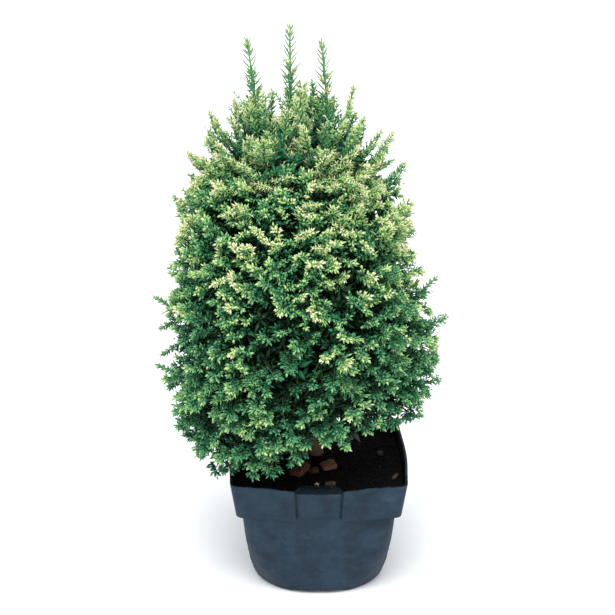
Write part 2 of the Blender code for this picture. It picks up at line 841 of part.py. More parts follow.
def keep_largest(target):
    """Drop every shell but the largest, so that no scrap or sealed hollow stays."""
    bm = bmesh.new()
    bm.from_mesh(target.data)
    left = set(bm.verts)
    shells = []
    while left:
        stack = [left.pop()]
        shell = set(stack)
        while stack:
            for edge in stack.pop().link_edges:
                for vert in edge.verts:
                    if vert not in shell:
                        shell.add(vert)
                        left.discard(vert)
                        stack.append(vert)
        shells.append(shell)
    shells.sort(key=len)
    scraps = [v for shell in shells[:-1] for v in shell]
    bmesh.ops.delete(bm, geom=scraps, context="VERTS")
    bm.to_mesh(target.data)
    bm.free()


def build_mass(mass, masses, runs, finish):
    """Core cut clear of the leaders, with the stem and the sprays fused on."""
    rng = random.Random(f"{SEED} {mass.name}")
    core = build_core(mass, masses, finish)
    fattened = []
    for name in LEADER_FORKS:
        path = station_path(leader_stations(name), TRUNK_STEP)
        tip, radius = path[-1]
        path.append((tip + Vector((0.0, 0.0, LEADER_OVERRUN)), radius))
        fattened.append(limb_rings(path, LIMB_SIDES, LEADER_CLEARANCE))
    cut_clear(core, fattened)
    union(core, [build_stem(mass, finish)] + grow_sprays(mass, masses, runs, rng, finish))


def build_plume(name, limb, tip, finish):
    """Slender plume: one tapering stem with pointed blades round it, shorter towards the tip."""
    rng = random.Random(f"{SEED} {name}")
    foot, tip = plume_ends(limb, tip)
    path = [(foot.lerp(tip, share), radius) for share, radius in PLUME_STEM]
    upright = Vector((0.0, 0.0, 1.0))
    stem = object_from(name, loft(limb_rings(path, PLUME_SIDES, cut_normals=(upright, None))), finish)
    way_up = (tip - foot).normalized()
    side = way_up.cross(Vector((0.0, 1.0, 0.0))).normalized()
    front = side.cross(way_up)
    sine = PLUME_BLADE_SPREAD / math.hypot(PLUME_BLADE_SPREAD, 1.0)
    pieces = []
    for k in range(PLUME_BLADES):
        share = PLUME_FIRST_BLADE + (PLUME_LAST_BLADE - PLUME_FIRST_BLADE) * k / (PLUME_BLADES - 1)
        angle = GOLDEN_ANGLE * k + rng.uniform(-0.2, 0.2)
        out = side * math.cos(angle) + front * math.sin(angle)
        way = (out * PLUME_BLADE_SPREAD + way_up).normalized()
        length = plume_reach(share) / sine * rng.uniform(0.82, 0.94)
        root = foot.lerp(tip, share) - way * PLUME_ROOT_SINK
        across = way.cross(out.cross(way_up) + out * 0.3).normalized()
        points = blade_points(root, way, across, length, length * PLUME_BLADE_SLIMNESS, 1)
        ridge = root + way * length * SPRAY_RIDGE
        pieces.append(build_blade(f"{name}_{k}", points, ridge, way.cross(across), finish))
    union(stem, pieces)


def clear_scene():
    for old in list(bpy.data.objects):
        bpy.data.objects.remove(old)


def main():
    clear_scene()
    finishes = {
        "pot": material("pot_plastic", (0.045, 0.068, 0.098), 0.6),
        "soil": material("soil", (0.020, 0.014, 0.011), 0.95),
        "bark": material("bark", (0.16, 0.085, 0.05), 0.85),
        "foliage": material("foliage", (0.06, 0.17, 0.085), 0.7),
        "plume": material("plume", (0.16, 0.30, 0.11), 0.7),
    }
    build_pot(finishes["pot"])
    build_soil(finishes["soil"])
    build_trunk(finishes["bark"])
    for name in LEADER_FORKS:
        build_leader(name, finishes["bark"])
    masses = lay_out_masses()
    runs = limb_runs(masses)
    for mass in masses:
        build_mass(mass, masses, runs, finishes["foliage"])
    for name, limb, *tip in PLUMES:
        build_plume(name, limb, tip, finishes["plume"])


main()
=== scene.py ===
"""Dresses the potted dwarf cypress: its pot, soil, bark, and fine foliage grown by the source's rule."""
import math
from typing import NamedTuple

import bpy
import numpy as np
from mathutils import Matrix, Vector, noise


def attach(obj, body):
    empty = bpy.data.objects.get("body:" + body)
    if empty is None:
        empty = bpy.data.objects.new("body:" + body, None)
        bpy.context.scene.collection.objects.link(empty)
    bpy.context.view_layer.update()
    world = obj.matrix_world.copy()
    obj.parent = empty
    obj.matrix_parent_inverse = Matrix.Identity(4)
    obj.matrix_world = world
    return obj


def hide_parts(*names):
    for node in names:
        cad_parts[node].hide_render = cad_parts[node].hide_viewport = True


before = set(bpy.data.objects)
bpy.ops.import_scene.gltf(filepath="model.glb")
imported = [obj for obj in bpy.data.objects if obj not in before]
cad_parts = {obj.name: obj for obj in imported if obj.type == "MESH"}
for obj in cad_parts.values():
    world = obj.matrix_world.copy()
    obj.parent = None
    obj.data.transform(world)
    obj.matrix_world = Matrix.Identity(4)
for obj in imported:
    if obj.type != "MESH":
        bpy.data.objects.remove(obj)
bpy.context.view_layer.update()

bl_info = {
    "name": "Potted dwarf cypress dressing",
    "version": (1, 0, 0),
    "blender": (4, 5, 0),
    "location": "View3D > Sidebar > Cypress",
    "description": "Grows the fine foliage, bark, soil and pot of a potted dwarf cypress on its frame",
    "category": "Object",
}

BODY = "root"
MM = 0.001
UP = np.array([0.0, 0.0, 1.0])

# Limbs, as in the part's source: the stations are (x, y, z, radius)
TRUNK_STATIONS = (
    (-0.002, 0.003, 0.1053, 0.0088),
    (-0.003, 0.003, 0.112, 0.0066),
    (-0.006, 0.002, 0.140, 0.0056),
    (-0.013, 0.001, 0.220, 0.0047),
    (-0.020, 0.000, 0.310, 0.0036),
    (-0.024, 0.000, 0.402, 0.0022),
)
LEADER_FORKS = {"leader_left": (0.248, 172.0, 0.0029), "leader_right": (0.262, 8.0, 0.0027)}
LEADER_STATIONS = {
    "leader_left": (
        (-0.033, 0.004, 0.290, 0.0027),
        (-0.040, 0.003, 0.335, 0.0023),
        (-0.050, -0.001, 0.396, 0.0017),
    ),
    "leader_right": (
        (-0.002, 0.004, 0.296, 0.0025),
        (0.007, 0.002, 0.340, 0.0021),
        (0.0095, -0.003, 0.392, 0.0016),
    ),
}
# A leader's elbow lies this far out from its fork, and above it
FORK_OUT = 0.0055
FORK_UP = 0.008
LIMB_SIDES = {"trunk": 14, "leader_left": 10, "leader_right": 10}
LIMB_STEP = 6 * MM
BARK_RELIEF = 1.1 * MM
# Ridges round the trunk's foot: how many, how high, how far pushed out, and the cosine of half their turn
FOOT_LOBES = 5
LOBE_HEIGHT = 5 * MM
LOBE_PUSH = 0.9 * MM
LOBE_FACING = 0.86
# Space left between a limb and what grows on it, and how far below a mass's middle its stem starts
TOUCH_GAP = 0.0003
STEM_DROP = 0.012

# Outline of the crown: the rows are (height, x of the middle, radius to the tips)
CROWN_ROWS = np.array((
    (0.116, -0.012, 0.082),
    (0.134, -0.016, 0.104),
    (0.160, -0.018, 0.110),
    (0.198, -0.019, 0.118),
    (0.245, -0.022, 0.118),
    (0.292, -0.022, 0.105),
    (0.340, -0.022, 0.097),
    (0.380, -0.021, 0.083),
    (0.408, -0.022, 0.062),
    (0.432, -0.024, 0.028),
))
# The outline goes on under the crown and over its top: (height, x of the middle, radius)
UNDER_ROW = (0.118, -0.011, 0.046)
TOP_ROW = (0.436, -0.024, 0.006)
# Lower edge of the crown, which rises towards the right: (x, height)
LOWER_EDGE_ROWS = np.array((
    (-0.090, 0.105),
    (-0.050, 0.118),
    (-0.030, 0.133),
    (-0.014, 0.138),
    (-0.004, 0.148),
    (0.008, 0.146),
    (0.018, 0.141),
    (0.026, 0.149),
    (0.040, 0.153),
    (0.060, 0.150),
))
# How far most tips stay inside the outline: (height, distance)
INSET_ROWS = np.array((
    (0.12, 0.003),
    (0.25, 0.006),
    (0.33, 0.009),
    (0.37, 0.014),
    (0.40, 0.021),
    (0.43, 0.030),
))
# How close together tips stand, against those of the lower crown: (height, density)
DENSITY_ROWS = np.array(((0.12, 1.0), (0.28, 1.0), (0.35, 1.6), (0.43, 1.8)))
# No swell pushes a tip further out than this distance inside the outline, which is a little outside it
LEAST_INSET = -0.006
# Share of the branchlets that end further inside, and how far further
DEEPER_SHARE = 0.18
DEEPER = (0.008, 0.024)
# Uneven growth: how many swells there are to a metre and how deep, and the same of clumps as small as a spray
SWELLS_PER_METRE = 24.0
SWELL_DEPTH = 0.009
CLUMPS_PER_METRE = 56.0
CLUMP_DEPTH = 0.011
# The large hollows, and a swell on the right: (x, y, z, reach, push inwards)
HOLLOWS = (
    (-0.136, 0.000, 0.214, 0.026, 0.030),
    (-0.128, -0.038, 0.222, 0.026, 0.022),
    (-0.128, 0.038, 0.206, 0.026, 0.022),
    (-0.138, 0.000, 0.279, 0.019, 0.021),
    (0.098, 0.000, 0.212, 0.022, -0.008),
    (0.060, 0.000, 0.393, 0.022, 0.010),
    (0.048, 0.000, 0.417, 0.020, 0.008),
    (-0.085, 0.000, 0.420, 0.020, 0.008),
)
# Tiers of foliage: (name, height of the middle, distance from the axis, count, first azimuth)
TIERS = (
    ("skirt", 0.164, 0.066, 5, -90.0),
    ("belly", 0.234, 0.069, 5, -54.0),
    ("shoulder", 0.304, 0.058, 5, -90.0),
    ("neck", 0.368, 0.042, 5, -54.0),
)
# Tips of the long shoots that stand out of the outline, seen from the front: (x, y, z)
LONG_SHOOTS = (
    (-0.091, -0.010, 0.419),
    (0.029, 0.006, 0.438),
    (0.063, 0.000, 0.398),
    (-0.111, 0.004, 0.380),
    (0.073, -0.004, 0.372),
    (-0.123, -0.004, 0.345),
    (0.103, 0.004, 0.272),
    (-0.143, 0.000, 0.255),
    (0.112, 0.000, 0.236),
    (0.108, -0.004, 0.181),
    (-0.143, -0.004, 0.194),
    (-0.130, 0.004, 0.148),
)
# Tips of the branchlets that hang lowest, over the pot's rim
HANGING_TIPS = (
    (-0.112, 0.006, 0.121),
    (-0.102, -0.018, 0.113),
    (-0.091, -0.044, 0.110),
    (-0.080, -0.058, 0.116),
    (-0.068, -0.068, 0.111),
    (-0.056, -0.076, 0.118),
    (-0.043, -0.083, 0.131),
    (-0.022, -0.089, 0.138),
    (-0.090, 0.040, 0.112),
    (-0.064, 0.068, 0.114),
    (-0.030, 0.086, 0.124),
    (0.012, 0.088, 0.132),
)
# Plumes, each on the tip of its limb: (name, limb, tip x, y, z)
PLUMES = (
    ("plume_left", "leader_left", -0.059, -0.001, 0.475),
    ("plume_middle", "trunk", -0.0242, 0.000, 0.485),
    ("plume_right", "leader_right", 0.002, -0.004, 0.474),
)
# Pitch of the branchlets by height: drooping low down, upright near the top
PITCH_ROWS = np.array((
    (0.12, -46.0),
    (0.19, -30.0),
    (0.25, -10.0),
    (0.30, 18.0),
    (0.34, 44.0),
    (0.38, 68.0),
    (0.43, 82.0),
))
# Pitch of the long shoots, which rise more than their neighbours
SHOOT_PITCH_ROWS = np.array((
    (0.14, -18.0),
    (0.19, 20.0),
    (0.25, 44.0),
    (0.32, 64.0),
    (0.38, 78.0),
    (0.44, 86.0),
))
# Growth turns upright from a height on, over a span of heights, and its leaves turn to needles likewise
UPRIGHT_FROM = 0.33
UPRIGHT_SPAN = 0.07
NEEDLES_FROM = 0.34
NEEDLES_SPAN = 0.05
# Share of the branchlets with needles low down, and what height adds. The same of those that stand out
NEEDLED_LOW, NEEDLED_MORE = 0.05, 0.9
STANDING_LOW, STANDING_MORE = 0.06, 0.22
# From this share of upright, needled branchlets end in feathery shoots, and no sprig is held to the outline
FEATHERY_FROM = 0.3
# How far a sprig may stand out of the outline, and reach over to the next mass
STAND_OUT = 7 * MM
REACH_OVER = 4 * MM
# Even shares of the length of a twig or stem at which it has a ring of corners, and its radii there
RING_SHARES = np.linspace(0.0, 1.0, 5)
TWIG_RADII = np.array((1.1, 0.95, 0.8, 0.6, 0.35)) * MM
BARE_TWIG_RADII = np.array((0.9, 0.8, 0.65, 0.5, 0.3)) * MM
BOUGH_RADII = (2.1, 1.2)
BOUGH_SAG = UP * 3 * MM
# Sprigs along a branchlet: (distance back from its tip, length), in millimetres
FINE_SPRIGS = ((0.0, 8.0), (3.0, 6.5), (6.0, 7.8), (9.4, 9.0), (13.0, 10.0), (17.0, 11.0))
COARSE_SPRIGS = ((22.0, 12.0), (28.0, 12.5), (35.0, 13.0))
# An upright branchlet's needled end, and its side shoots: (distance back from its tip, length) in millimetres
FEATHER_LENGTH = 0.030
FEATHER_SIDES = ((6.0, 6.0), (9.5, 8.5), (13.5, 10.5), (18.0, 12.0), (23.0, 13.0))
# Tufts of old leaves, coloured as painted shade, in millimetres: how deep they lie, how far that varies, and
# how long and wide a leaf is
TUFT_DEPTH, TUFT_SPREAD = 22, 54
TUFT_LEAVES = 6
TUFT_LENGTHS = (10, 14)
TUFT_WIDTH = 4.6
# Gold turns tips to cream. Its usual value, and what patches, clumps, height and chance add to it
USUAL_GOLD = 0.57
GOLD_PATCHES_PER_METRE = 17.0
PATCH_GOLD = 0.30
CLUMP_GOLD = 0.42
HIGH_GOLD = 0.26
CHANCE_GOLD = 0.17
GOLD_MIDDLE, GOLD_SPAN = 0.27, 0.12
# The fringe at the lower edge loses some: its tips stay greener, and its darker band is also painted shade
FRINGE_GOLD = 0.20
FRINGE_TOP, FRINGE_SPAN = 0.165, 0.04
# Least gold of the shoots that stand out of the outline, and the most of the other branchlets by height
STANDING_GOLD = 0.55
MOST_GOLD_ROWS = np.array(((0.12, 0.53), (0.18, 0.64), (0.27, 1.03)))
# Where more tips turn to cream, or fewer: (x, y, z, reach, how much)
GOLD_PLACES = (
    (0.012, -0.125, 0.272, 0.036, 0.28),
    (-0.066, -0.055, 0.375, 0.060, 0.28),
    (0.050, -0.055, 0.385, 0.060, 0.30),
    (0.070, -0.065, 0.195, 0.060, -0.16),
)
NEEDLE_WIDTH = 0.0014
GOLDEN_ANGLE = math.pi * (3.0 - math.sqrt(5.0))
SEED = 20
COLOURS = ("shade", "deep", "middle", "fresh", "lime", "cream", "blush")
# A leaf's colour number rises by one at each of these values of its lightness
COLOUR_STEPS = (0.02, 0.40, 0.74, 0.97, 1.14)
# What gold adds to lightness, from this gold on, and the painted shade: what each metre of depth inside the
# crown takes off, from this depth on
GOLD_LIGHTNESS, NEUTRAL_GOLD = 0.85, 0.5
SHADE_PER_METRE, SHADE_FROM = 30.0, 8 * MM
CHANCE_LIGHTNESS = 0.06
SHADE = COLOURS.index("shade")
DEEP = COLOURS.index("deep")
CREAM = COLOURS.index("cream")
BLUSH = COLOURS.index("blush")
# Share of the sprigs whose cream leaves have a touch of pink
BLUSH_SHARE = 0.16

# Pot, as in the part's source: a square lip, a raised band under it, and a body that turns round
POT_HEIGHT = 0.110
LIP_HALF = 0.075
LIP_CORNER = 0.0055
LIP_SAG = 0.003
SIDE_BULGE = 0.004
BAND_BOTTOM = 0.0785
BAND_BOTTOM_HALF = 0.0708
BODY_TOP_HALF = 0.0662
BODY_TOP_CORNER = 0.010
FOOT_HALF = 0.0588
FOOT_EDGE = 0.0013
ROUNDING_POWER = 2.4
# A notch: its depth, half its width in degrees, and the height from which its corners stay as they are
NOTCH_DEPTH = 0.0026
NOTCH_OFF = 14.5
NOTCH_LIP = 0.0992
# Its slanted sides are within so many degrees of its edge, and how far they and its shelf face that way
NOTCH_SIDE_TURN = 1.5
SIDE_SLOPE = 0.5
SHELF_SLOPE = 0.4
# Extra cuts that make the pot rounder: degrees from the middle of a side, and heights
POT_TURNS = (7.0, 16.2, 17.6, 21.5, 33.5)
POT_LEVELS = (0.007, 0.021, 0.027, 0.041, 0.048, 0.066)
# What lies this far inside the outer wall is the inner wall, and heights this close are the same
WALL_REACH = 0.0011
LEVEL_REACH = 0.2 * MM
# Numbers of the pot's second and third finish: painted shade on the inner walls, and painted shade with peat
# dust on the notches' shelves and slanted sides
SHADED_INSIDE, DUST_AND_SHADE = 1, 2
# The band hangs lower beside the notches: (degrees from the middle of a side, drop)
BAND_DROP_ROWS = np.array(((14.5, 0.0), (15.2, 0.0009), (16.2, 0.0020), (17.6, 0.0024), (45.0, 0.0)))

# Things on the soil: (name, x, y, length, breadth, thickness, turn in degrees, light and dark colour). The
# chips' colours are darkened as painted shade from the crown above
CHIPS = (
    ("chip_tan", 0.0087, -0.022, 0.0120, 0.0100, 0.0045, 20.0, (132, 98, 68), (78, 52, 34)),
    ("chip_orange", -0.0187, -0.036, 0.0105, 0.0080, 0.0050, -35.0, (104, 56, 34), (54, 28, 18)),
    ("chip_pink", -0.0120, -0.026, 0.0125, 0.0055, 0.0045, 70.0, (124, 82, 66), (70, 42, 34)),
    ("chip_red", -0.0041, -0.032, 0.0075, 0.0052, 0.0036, 10.0, (84, 38, 27), (44, 20, 14)),
    ("chip_flat", 0.0100, -0.0550, 0.0085, 0.0042, 0.0022, -12.0, (84, 66, 52), (44, 33, 26)),
    ("chip_white", -0.0017, -0.0570, 0.0028, 0.0024, 0.0020, 40.0, (190, 180, 168), (120, 110, 98)),
    ("chip_sliver", 0.0665, -0.036, 0.0105, 0.0016, 0.0014, 62.0, (90, 66, 54), (46, 32, 26)),
    ("chip_grey", 0.0557, 0.012, 0.0042, 0.0034, 0.0028, 15.0, (74, 70, 64), (40, 37, 34)),
    ("chip_brown", -0.048, 0.030, 0.0110, 0.0064, 0.0042, 100.0, (96, 60, 40), (50, 30, 20)),
    ("chip_back", 0.030, 0.052, 0.0095, 0.0078, 0.0038, 50.0, (120, 86, 60), (68, 44, 30)),
)
CRUMB_KINDS = ("crumb_black", "crumb_brown", "crumb_pale")
PALE_CRUMB = 2
CRUMB_REACH = 0.066
CRUMB_SHARES = (0.72, 0.23, 0.05)
# The first crumbs lie on the shelf behind the front notch, between two corners (x, y)
SHELF_CRUMBS = 110
SHELF_CORNERS = ((-0.019, -0.0680), (0.019, -0.0605))
BARE_TWIGS = 9
# The soil is cut off below this height, because the pot hides it, and meshed anew with cells of this size
SOIL_CUT = 0.0965
SOIL_CELL = 1.3 * MM
# Things are dropped on the soil from this height
DROP_FROM = 0.13

# The photograph's view: where the camera stands, how far it is tilted from straight down, and its lens
CAMERA_PLACE = (-0.0097, -1.2413, 0.6311)
CAMERA_TILT = math.radians(72.72)
CAMERA_LENS = 87.69
CAMERA_SENSOR = 36.0
# Soft lights: (name, where from, strength, softness in degrees), and the pale room
SUNS = (
    ("key_light", (-0.05, -1.15, 1.9), 2.7, 45.0),
    ("fill_light", (-0.9, -0.9, 2.0), 0.4, 60.0),
)
ROOM_COLOUR = (0.93, 0.97, 1.0, 1.0)
ROOM_STRENGTH = 0.82
FLOOR_COLOUR = (0.93, 0.93, 0.94)
FLOOR_SIZE = 60.0
FLOOR_DROP = 0.0005


def srgb(red, green, blue):
    """Linear colour of a display colour given from 0 to 255."""
    share = (red / 255, green / 255, blue / 255)
    return tuple(c / 12.92 if c <= 0.04045 else ((c + 0.055) / 1.055) ** 2.4 for c in share)


def colour_property(name, description, shown):
    return bpy.props.FloatVectorProperty(
        name=name, description=description, subtype="COLOR", size=3, min=0.0, max=1.0, default=srgb(*shown)
    )


def length_property(name, description, default):
    return bpy.props.FloatProperty(
        name=name, description=description, default=default, min=0.0, unit="LENGTH", precision=5
    )


class LeafColours(bpy.types.PropertyGroup):
    # Shade: old leaves inside the crown, whose near-black colour is painted shade in the crown's gaps
    shade: colour_property("Shade", "Old leaves inside the crown", (15, 54, 28))
    # Deep: leaves at a sprig's foot; the same colour is painted shade for leaves deep in the crown and for
    # the tufts near the top
    deep: colour_property("Deep", "Leaves at the foot of a sprig", (38, 106, 68))
    middle: colour_property("Middle", "Leaves along a sprig", (86, 150, 100))
    fresh: colour_property("Fresh", "Young leaves near a tip", (136, 184, 116))
    lime: colour_property("Lime", "Yellow-green tips", (192, 216, 136))
    cream: colour_property("Cream", "Cream tips", (226, 229, 182))
    blush: colour_property("Blush", "Cream tips with a touch of pink", (234, 218, 174))
    twig: colour_property("Twig", "Thin green twigs", (58, 88, 52))


class FoliageSizes(bpy.types.PropertyGroup):
    branchlets: bpy.props.IntProperty(
        name="Branchlets", description="Branchlets on the whole crown", default=1400, min=50, max=5000
    )
    fillers: bpy.props.IntProperty(
        name="Inner tufts", description="Tufts of old leaves inside the crown", default=3900, min=0, max=20000
    )
    raggedness: length_property("Raggedness", "How far tips stand in or out of their row", 0.0065)


class PotLooks(bpy.types.PropertyGroup):
    plastic: colour_property("Plastic", "Blue-grey plastic of the pot", (31, 48, 62))
    scuff: colour_property("Scuff", "Pale scuffs on the plastic", (66, 84, 98))
    # The inside colour is painted shade for the pot's inner walls
    inside: colour_property("Inside", "Damp dark inside of the pot", (5, 6, 7))
    # The shelf colour is peat dust with painted shade on the notches' shelves, and painted shade on their
    # slanted sides
    shelf: colour_property("Shelf", "Dusty shelf behind a notch", (22, 33, 41))
    edge_width: length_property("Edge width", "Width of the rounded edges", 0.0005)


class SoilLooks(bpy.types.PropertyGroup):
    peat: colour_property("Peat", "Dark peat", (5, 5, 5))
    peat_light: colour_property("Light peat", "Crumbs of lighter peat", (20, 16, 13))
    crumb_black: colour_property("Black crumbs", "Crumbs of damp peat", (8, 7, 7))
    crumb_brown: colour_property("Brown crumbs", "Crumbs of bark and root", (40, 26, 20))
    crumb_pale: colour_property("Pale crumbs", "Pale grains and fibres", (96, 84, 72))
    crumbs: bpy.props.IntProperty(
        name="Crumbs", description="Loose crumbs on the soil", default=1500, min=0, max=20000
    )


# Arrays


def unit(vectors):
    return vectors / np.maximum(np.linalg.norm(vectors, axis=-1, keepdims=True), 1e-9)


def between(first, second, angles):
    """Directions at angles from first ones towards second ones, which are at right angles to them."""
    angles = np.asarray(angles)[..., None]
    return first * np.cos(angles) + second * np.sin(angles)


def turned(vectors, axes, angles):
    """Vectors turned about unit axes at right angles to them."""
    return between(vectors, np.cross(axes, vectors), angles)


def dots(a, b):
    return np.sum(a * b, axis=-1)


def by_row(values, rows, column=1):
    """A column of a table at values of its first column, in straight lines between its rows."""
    return np.interp(values, rows[:, 0], rows[:, column])


def risen(values, start, span):
    """How far values have risen from a start through a span, from 0 to 1."""
    return np.clip((values - start) / span, 0.0, 1.0)


def upright_share(points):
    """How upright growth is: 0 up to the crown's shoulder, and 1 near its top."""
    return risen(points[:, 2], UPRIGHT_FROM, UPRIGHT_SPAN)


def level_way(angle):
    """Level direction at an angle from +X."""
    return np.array([math.cos(angle), math.sin(angle), 0.0])


def level_ways(angles):
    return np.stack([np.cos(angles), np.sin(angles), np.zeros(len(angles))], axis=1)


def ways_out(count, rise, rng):
    """Directions that rise out of a stem at golden-angle turns, and level ones at right angles to them."""
    spin = GOLDEN_ANGLE * np.arange(count) + rng.uniform(0, math.tau)
    out = unit(level_ways(spin) + UP * rise)
    return out, np.stack([-np.sin(spin), np.cos(spin), np.zeros(count)], axis=1)


def crown_axis(heights):
    """Points on the crown's axis at heights."""
    places = np.zeros((*np.shape(heights), 3))
    places[..., 0] = by_row(heights, CROWN_ROWS)
    places[..., 2] = heights
    return places


def outline_depth(points):
    """How far inside the crown's outline points lie. It is negative outside."""
    heights = points[..., 2]
    off_axis = np.linalg.norm(points - crown_axis(heights), axis=-1)
    depth = by_row(heights, CROWN_ROWS, 2) - off_axis
    return np.minimum(depth, np.minimum(heights - CROWN_ROWS[0, 0], CROWN_ROWS[-1, 0] - heights))


def above_edge(points, rng):
    """Which points stay above the crown's lower edge, give or take a few millimetres."""
    edge = by_row(points[:, 0], LOWER_EDGE_ROWS)
    return points[:, 2] > edge + rng.uniform(-3, 4, len(points)) * MM


def outline_lattice(count):
    """Places over the crown's outline along a golden-angle spiral, closer together near the top."""
    rows = np.concatenate([[UNDER_ROW], CROWN_ROWS, [TOP_ROW]])
    steps = np.linspace(0, len(rows) - 1, 800)
    z, x, radius = (np.interp(steps, np.arange(len(rows)), rows[:, column]) for column in range(3))
    run = np.hypot(np.diff(z), np.diff(radius))
    density = by_row(z[1:], DENSITY_ROWS)
    share = np.concatenate([[0.0], np.cumsum(run * (radius[1:] + radius[:-1]) / 2 * density)])
    wanted = (np.arange(count) + 0.5) / count * share[-1]
    z, x, radius = (np.interp(wanted, share, values) for values in (z, x, radius))
    turn = GOLDEN_ANGLE * np.arange(count)
    return np.stack([x + radius * np.cos(turn), radius * np.sin(turn), z], axis=1)


# Limbs


def trunk_place(z):
    rows = np.array(TRUNK_STATIONS)
    return np.array([np.interp(z, rows[:, 2], rows[:, 0]), np.interp(z, rows[:, 2], rows[:, 1]), z])


def trunk_radius(z):
    rows = np.array(TRUNK_STATIONS)
    return float(np.interp(z, rows[:, 2], rows[:, 3]))


def limb_stations(name):
    """Stations (x, y, z, radius) of the trunk or a leader, which forks 0.3 mm off the bark."""
    if name == "trunk":
        return np.array(TRUNK_STATIONS)
    z, azimuth, radius = LEADER_FORKS[name]
    away = level_way(math.radians(azimuth))
    fork = trunk_place(z) + away * (trunk_radius(z) + TOUCH_GAP + radius)
    elbow = fork + away * FORK_OUT + UP * FORK_UP
    return np.array([(*fork, radius), (*elbow, radius), *LEADER_STATIONS[name]])


def smooth_path(stations, step):
    """Points and radii along a smooth curve through stations."""
    places, radii = stations[:, :3], stations[:, 3]
    rows = []
    for i in range(len(places) - 1):
        before, after = places[max(i - 1, 0)], places[min(i + 2, len(places) - 1)]
        first, second = places[i], places[i + 1]
        count = max(1, round(float(np.linalg.norm(second - first)) / step))
        for t in np.arange(count) / count:
            h1 = 2 * t**3 - 3 * t**2 + 1
            h2 = t**3 - 2 * t**2 + t
            h3 = -2 * t**3 + 3 * t**2
            h4 = t**3 - t**2
            place = first * h1 + (second - before) / 2 * h2 + second * h3 + (after - first) / 2 * h4
            rows.append((*place, radii[i] + (radii[i + 1] - radii[i]) * t))
    rows.append(tuple(stations[-1]))
    return np.array(rows)


# Masses


class Mass:
    """One mass of foliage: its name and tier, its middle, and where its stem starts."""

    def __init__(self, tier, index, middle):
        self.tier = tier
        self.name = f"foliage_{tier}_{index + 1}"
        self.middle = middle
        place = trunk_place(middle[2] - STEM_DROP)
        away = (middle - place) * np.array([1.0, 1.0, 0.0])
        self.stem_start = place + unit(away) * (trunk_radius(place[2]) + TOUCH_GAP)


def lay_out_masses():
    masses = []
    for tier, z, distance, count, first in TIERS:
        for index in range(count):
            outward = level_way(math.radians(first + 360.0 * index / count))
            masses.append(Mass(tier, index, crown_axis(z) + outward * distance))
    return masses


def owners(points, masses):
    """Number of the mass in whose space each point lies: the space round a middle ends midway to the next."""
    middles = np.array([mass.middle for mass in masses])
    return np.argmin(np.linalg.norm(points[:, None] - middles[None], axis=2), axis=1)


def in_tier(tier, own, masses):
    """Which of the masses with these numbers are in a tier."""
    return np.array([masses[number].tier == tier for number in own])


def neighbour_depth(points, own, masses):
    """Distance from points to the nearest plane midway between their own mass and another."""
    middles = np.array([mass.middle for mass in masses])
    home = middles[own]
    depth = np.full(len(points), 1.0)
    for number, middle in enumerate(middles):
        other = own != number
        apart = unit(middle - home[other])
        depth[other] = np.minimum(depth[other], dots((middle + home[other]) / 2 - points[other], apart))
    return depth


# Shapes that repeat: points along (length, breadth, thickness), and outward triangles


class Shape:
    """A small closed shape with its faces turned outwards."""

    def __init__(self, points, triangles):
        self.points = np.array(points, float)
        self.triangles = []
        for triangle in triangles:
            a, b, c = self.points[list(triangle)]
            outward = dots(np.cross(b - a, c - a), (a + b + c) / 3 - self.points.mean(axis=0)) > 0
            self.triangles.append(triangle if outward else triangle[::-1])
        self.triangles = np.array(self.triangles, np.int32)


def spindle(sides, belly):
    """Pointed shape with its widest ring at a share of its length."""
    ring = [math.tau * k / sides for k in range(sides)]
    points = [(0.0, 0.0, 0.0), (1.0, 0.0, 0.0)]
    points += [(belly, 0.5 * math.cos(a), 0.5 * math.sin(a)) for a in ring]
    around = [(2 + k, 2 + (k + 1) % sides) for k in range(sides)]
    return Shape(points, [(0, a, b) for a, b in around] + [(1, a, b) for a, b in around])


def toothed():
    """Flat blunt shape with a scale standing out of one edge, and a ridge on both faces."""
    rim = [(0.0, 0.0), (0.34, 0.42), (0.86, 0.36), (1.0, -0.04), (0.72, -0.22), (0.58, -0.50)]
    points = [(u, v, 0.0) for u, v in rim] + [(0.42, 0.0, 0.5), (0.42, 0.0, -0.5)]
    around = [(k, (k + 1) % len(rim)) for k in range(len(rim))]
    return Shape(points, [(a, b, 6) for a, b in around] + [(a, b, 7) for a, b in around])


def awl():
    """Slim needle that bends a little towards its shoot."""
    points = [(0.0, 0.0, 0.0), (1.0, 0.0, 0.6)]
    for u, radius, lift in ((0.25, 0.5, -0.1), (0.7, 0.34, 0.1)):
        points += [
            (u, radius * math.cos(math.tau * k / 3), radius * math.sin(math.tau * k / 3) + lift)
            for k in range(3)
        ]
    triangles = []
    for k in range(3):
        a, b, c, d = 2 + k, 2 + (k + 1) % 3, 5 + k, 5 + (k + 1) % 3
        triangles += [(0, a, b), (a, b, c), (b, c, d), (1, c, d)]
    return Shape(points, triangles)


TOOTHED_LEAF = toothed()
PLAIN_LEAF = spindle(4, 0.4)
NEEDLE = spindle(3, 0.3)
LUMP = spindle(4, 0.45)
AWL = awl()


class Sprig(NamedTuple):
    """A kind of sprig: pairs of leaves on an axis, each pair turned by roll from the last, in degrees."""

    shape: Shape
    pairs: int
    leaf_length: float
    leaf_width: float
    first_lean: float
    last_lean: float
    roll: float
    thickness: float


SCALE_SPRIG = Sprig(TOOTHED_LEAF, 3, 5.4 * MM, 2.5 * MM, 50.0, 30.0, 52.0, 0.6)
NEEDLE_SPRIG = Sprig(NEEDLE, 4, 6.2 * MM, 1.7 * MM, 48.0, 28.0, 70.0, 1.0)
COARSE_SPRIG = Sprig(PLAIN_LEAF, 2, 7.2 * MM, 3.0 * MM, 52.0, 36.0, 60.0, 0.6)
SPRIG_AXIS_WIDTH = 1.15 * MM


